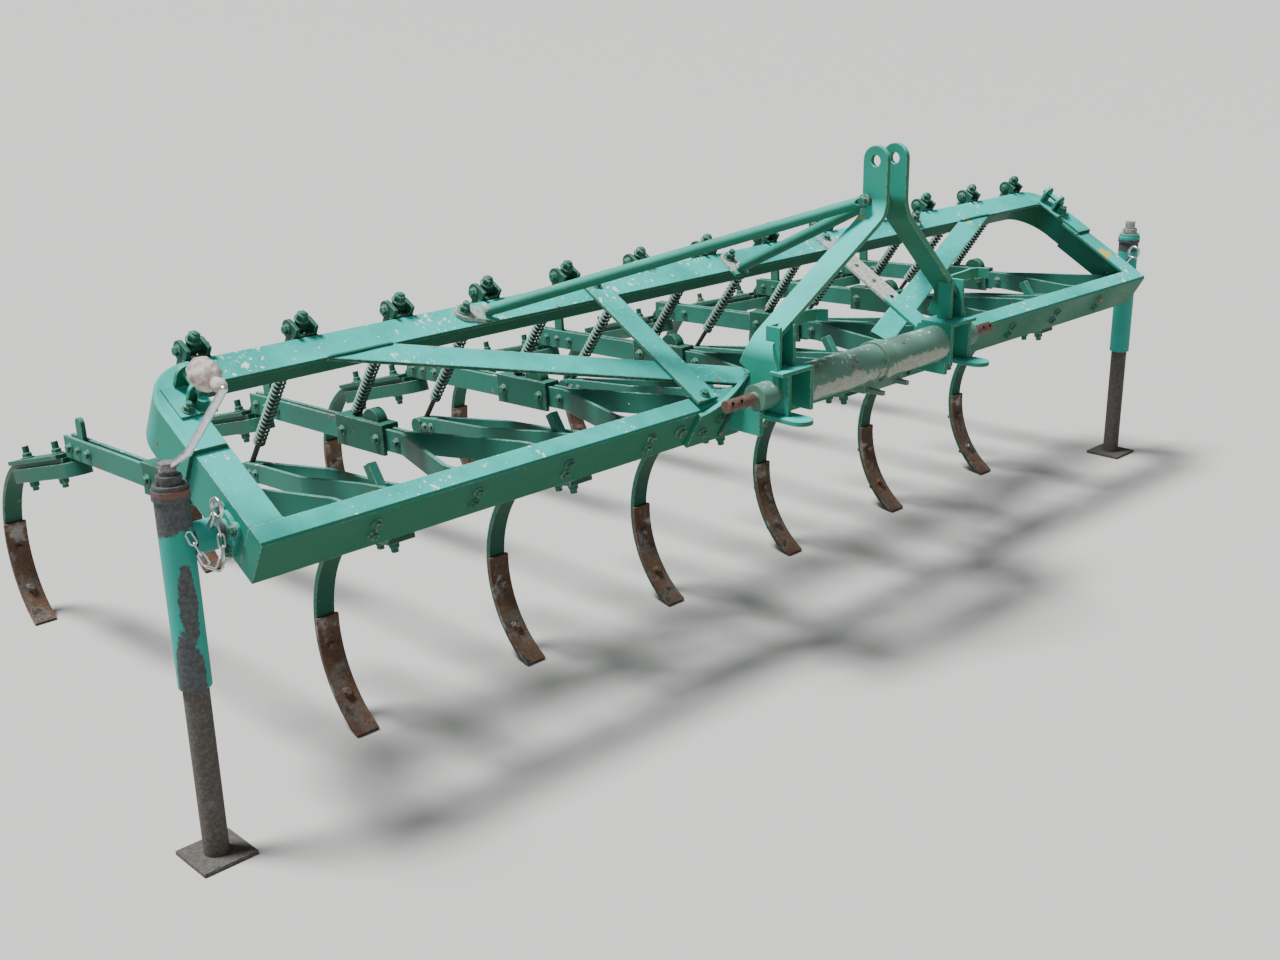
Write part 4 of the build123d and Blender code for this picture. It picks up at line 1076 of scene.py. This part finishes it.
def linkShape(link):
    # a round wire carried round a stadium: two straights and two half turns
    sweep = ringAngles(link["linkSteps"])
    reach = link["long"] - link["wide"]
    outward = np.stack([np.cos(sweep), np.sin(sweep), 0 * sweep], axis=-1)
    line = link["wide"] * outward
    line[:, 1] += reach * np.sign(np.sin(sweep) + 1e-9)
    upward = np.array([0, 0, 1.0])
    return tubeShape(line, link["wire"], outward[:, None], upward, link["wireSides"], closeRows=True)


def smoothRoute(points, count):
    # one smooth curve near the points: each place is a blend of all points with bell weights
    points = np.array(points)
    at = np.linspace(0, len(points) - 1, count)[:, None]
    weight = np.exp(-((at - np.arange(len(points))[None, :]) / chain["bell"]) ** 2)
    weight /= weight.sum(axis=1)[:, None]
    curve = weight @ points
    curve[0], curve[-1] = points[0], points[-1]
    return curve


def addChain():
    # links every spacing along the curve, each turned a quarter from the last
    curve = smoothRoute(chain["route"], 200)
    steps = np.concatenate([[0], np.cumsum(np.linalg.norm(np.diff(curve, axis=0), axis=1))])
    look = chain["look"]
    places = []
    for number, along in enumerate(np.arange(0, steps[-1], chain["spacing"])):
        spots = np.array([along, along + look, along - look])
        centre, ahead, behind = np.stack([np.interp(spots, steps, curve[:, k]) for k in range(3)], axis=1)
        axis = (ahead - behind) / np.linalg.norm(ahead - behind)
        across = np.cross(axis, chain["firstAcross"])
        across /= np.linalg.norm(across)
        normal = np.cross(across, axis)
        if number % 2:
            across, normal = normal, -across
        places.append(placeAt(np.stack([across, axis, normal], axis=1), rowPoint(*centre)))
    addPiece("lockChain", stampShape(linkShape(chain), places), "zincPlate", "jack_left", 60)


addChain()

# Rag: a small lump by the crank rod and a large one round the grip, as (place along, radius)
rag = {
    "start": (-1.59, -0.0045, 0.286),
    "end": (-1.59, 0.0935, 0.309),
    "profile": (
        (0.02, 0.0078), (0.08, 0.0115), (0.15, 0.0128), (0.22, 0.0115), (0.28, 0.0098), (0.36, 0.0185),
        (0.46, 0.0235), (0.6, 0.0255), (0.74, 0.0245), (0.85, 0.0195), (0.92, 0.0125), (0.945, 0.0078),
    ),
    "rows": 84,
    "sides": 64,
    "folds": 0.06,
    "lumps": 0.07,
    "depth": 1.2,
}


def addRag():
    # a wound cloth: a tube round the grip whose radius follows the profile, spiral folds and broad lumps
    start, end = rowPoint(*rag["start"]), rowPoint(*rag["end"])
    length = np.linalg.norm(end - start)
    axis = (end - start) / length
    side = np.cross(axis, [0, 0, 1.0])
    side /= np.linalg.norm(side)
    up = np.cross(side, axis)
    reach, core = np.array(rag["profile"]).T
    rows = np.linspace(reach[0], reach[-1], rag["rows"])
    v, u = np.meshgrid(rows, ringAngles(rag["sides"]), indexing="ij")
    folds = np.abs(np.sin(2.5 * u + 15 * v)) + 0.7 * np.sin(5 * u - 23 * v) + 0.35 * np.sin(11 * u + 37 * v)
    lumps = np.sin(u + 3.1 * v + 0.6) * np.sin(5.2 * v + 0.4) + 0.8 * np.cos(2 * u - 5 * v)
    radius = np.interp(v, reach, core)
    radius = radius + (radius - core[0]) * (rag["folds"] * folds + rag["lumps"] * lumps) * rag["depth"]
    place = start + (v * length)[..., None] * axis
    points = place + radius[..., None] * (np.cos(u)[..., None] * side + np.sin(u)[..., None] * up)
    piece = addPiece("gripRag", gridShape(points[:, ::-1]), "ragCloth", "jack_left", 180)
    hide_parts("crank_grip")


addRag()
print("chain and rag made")
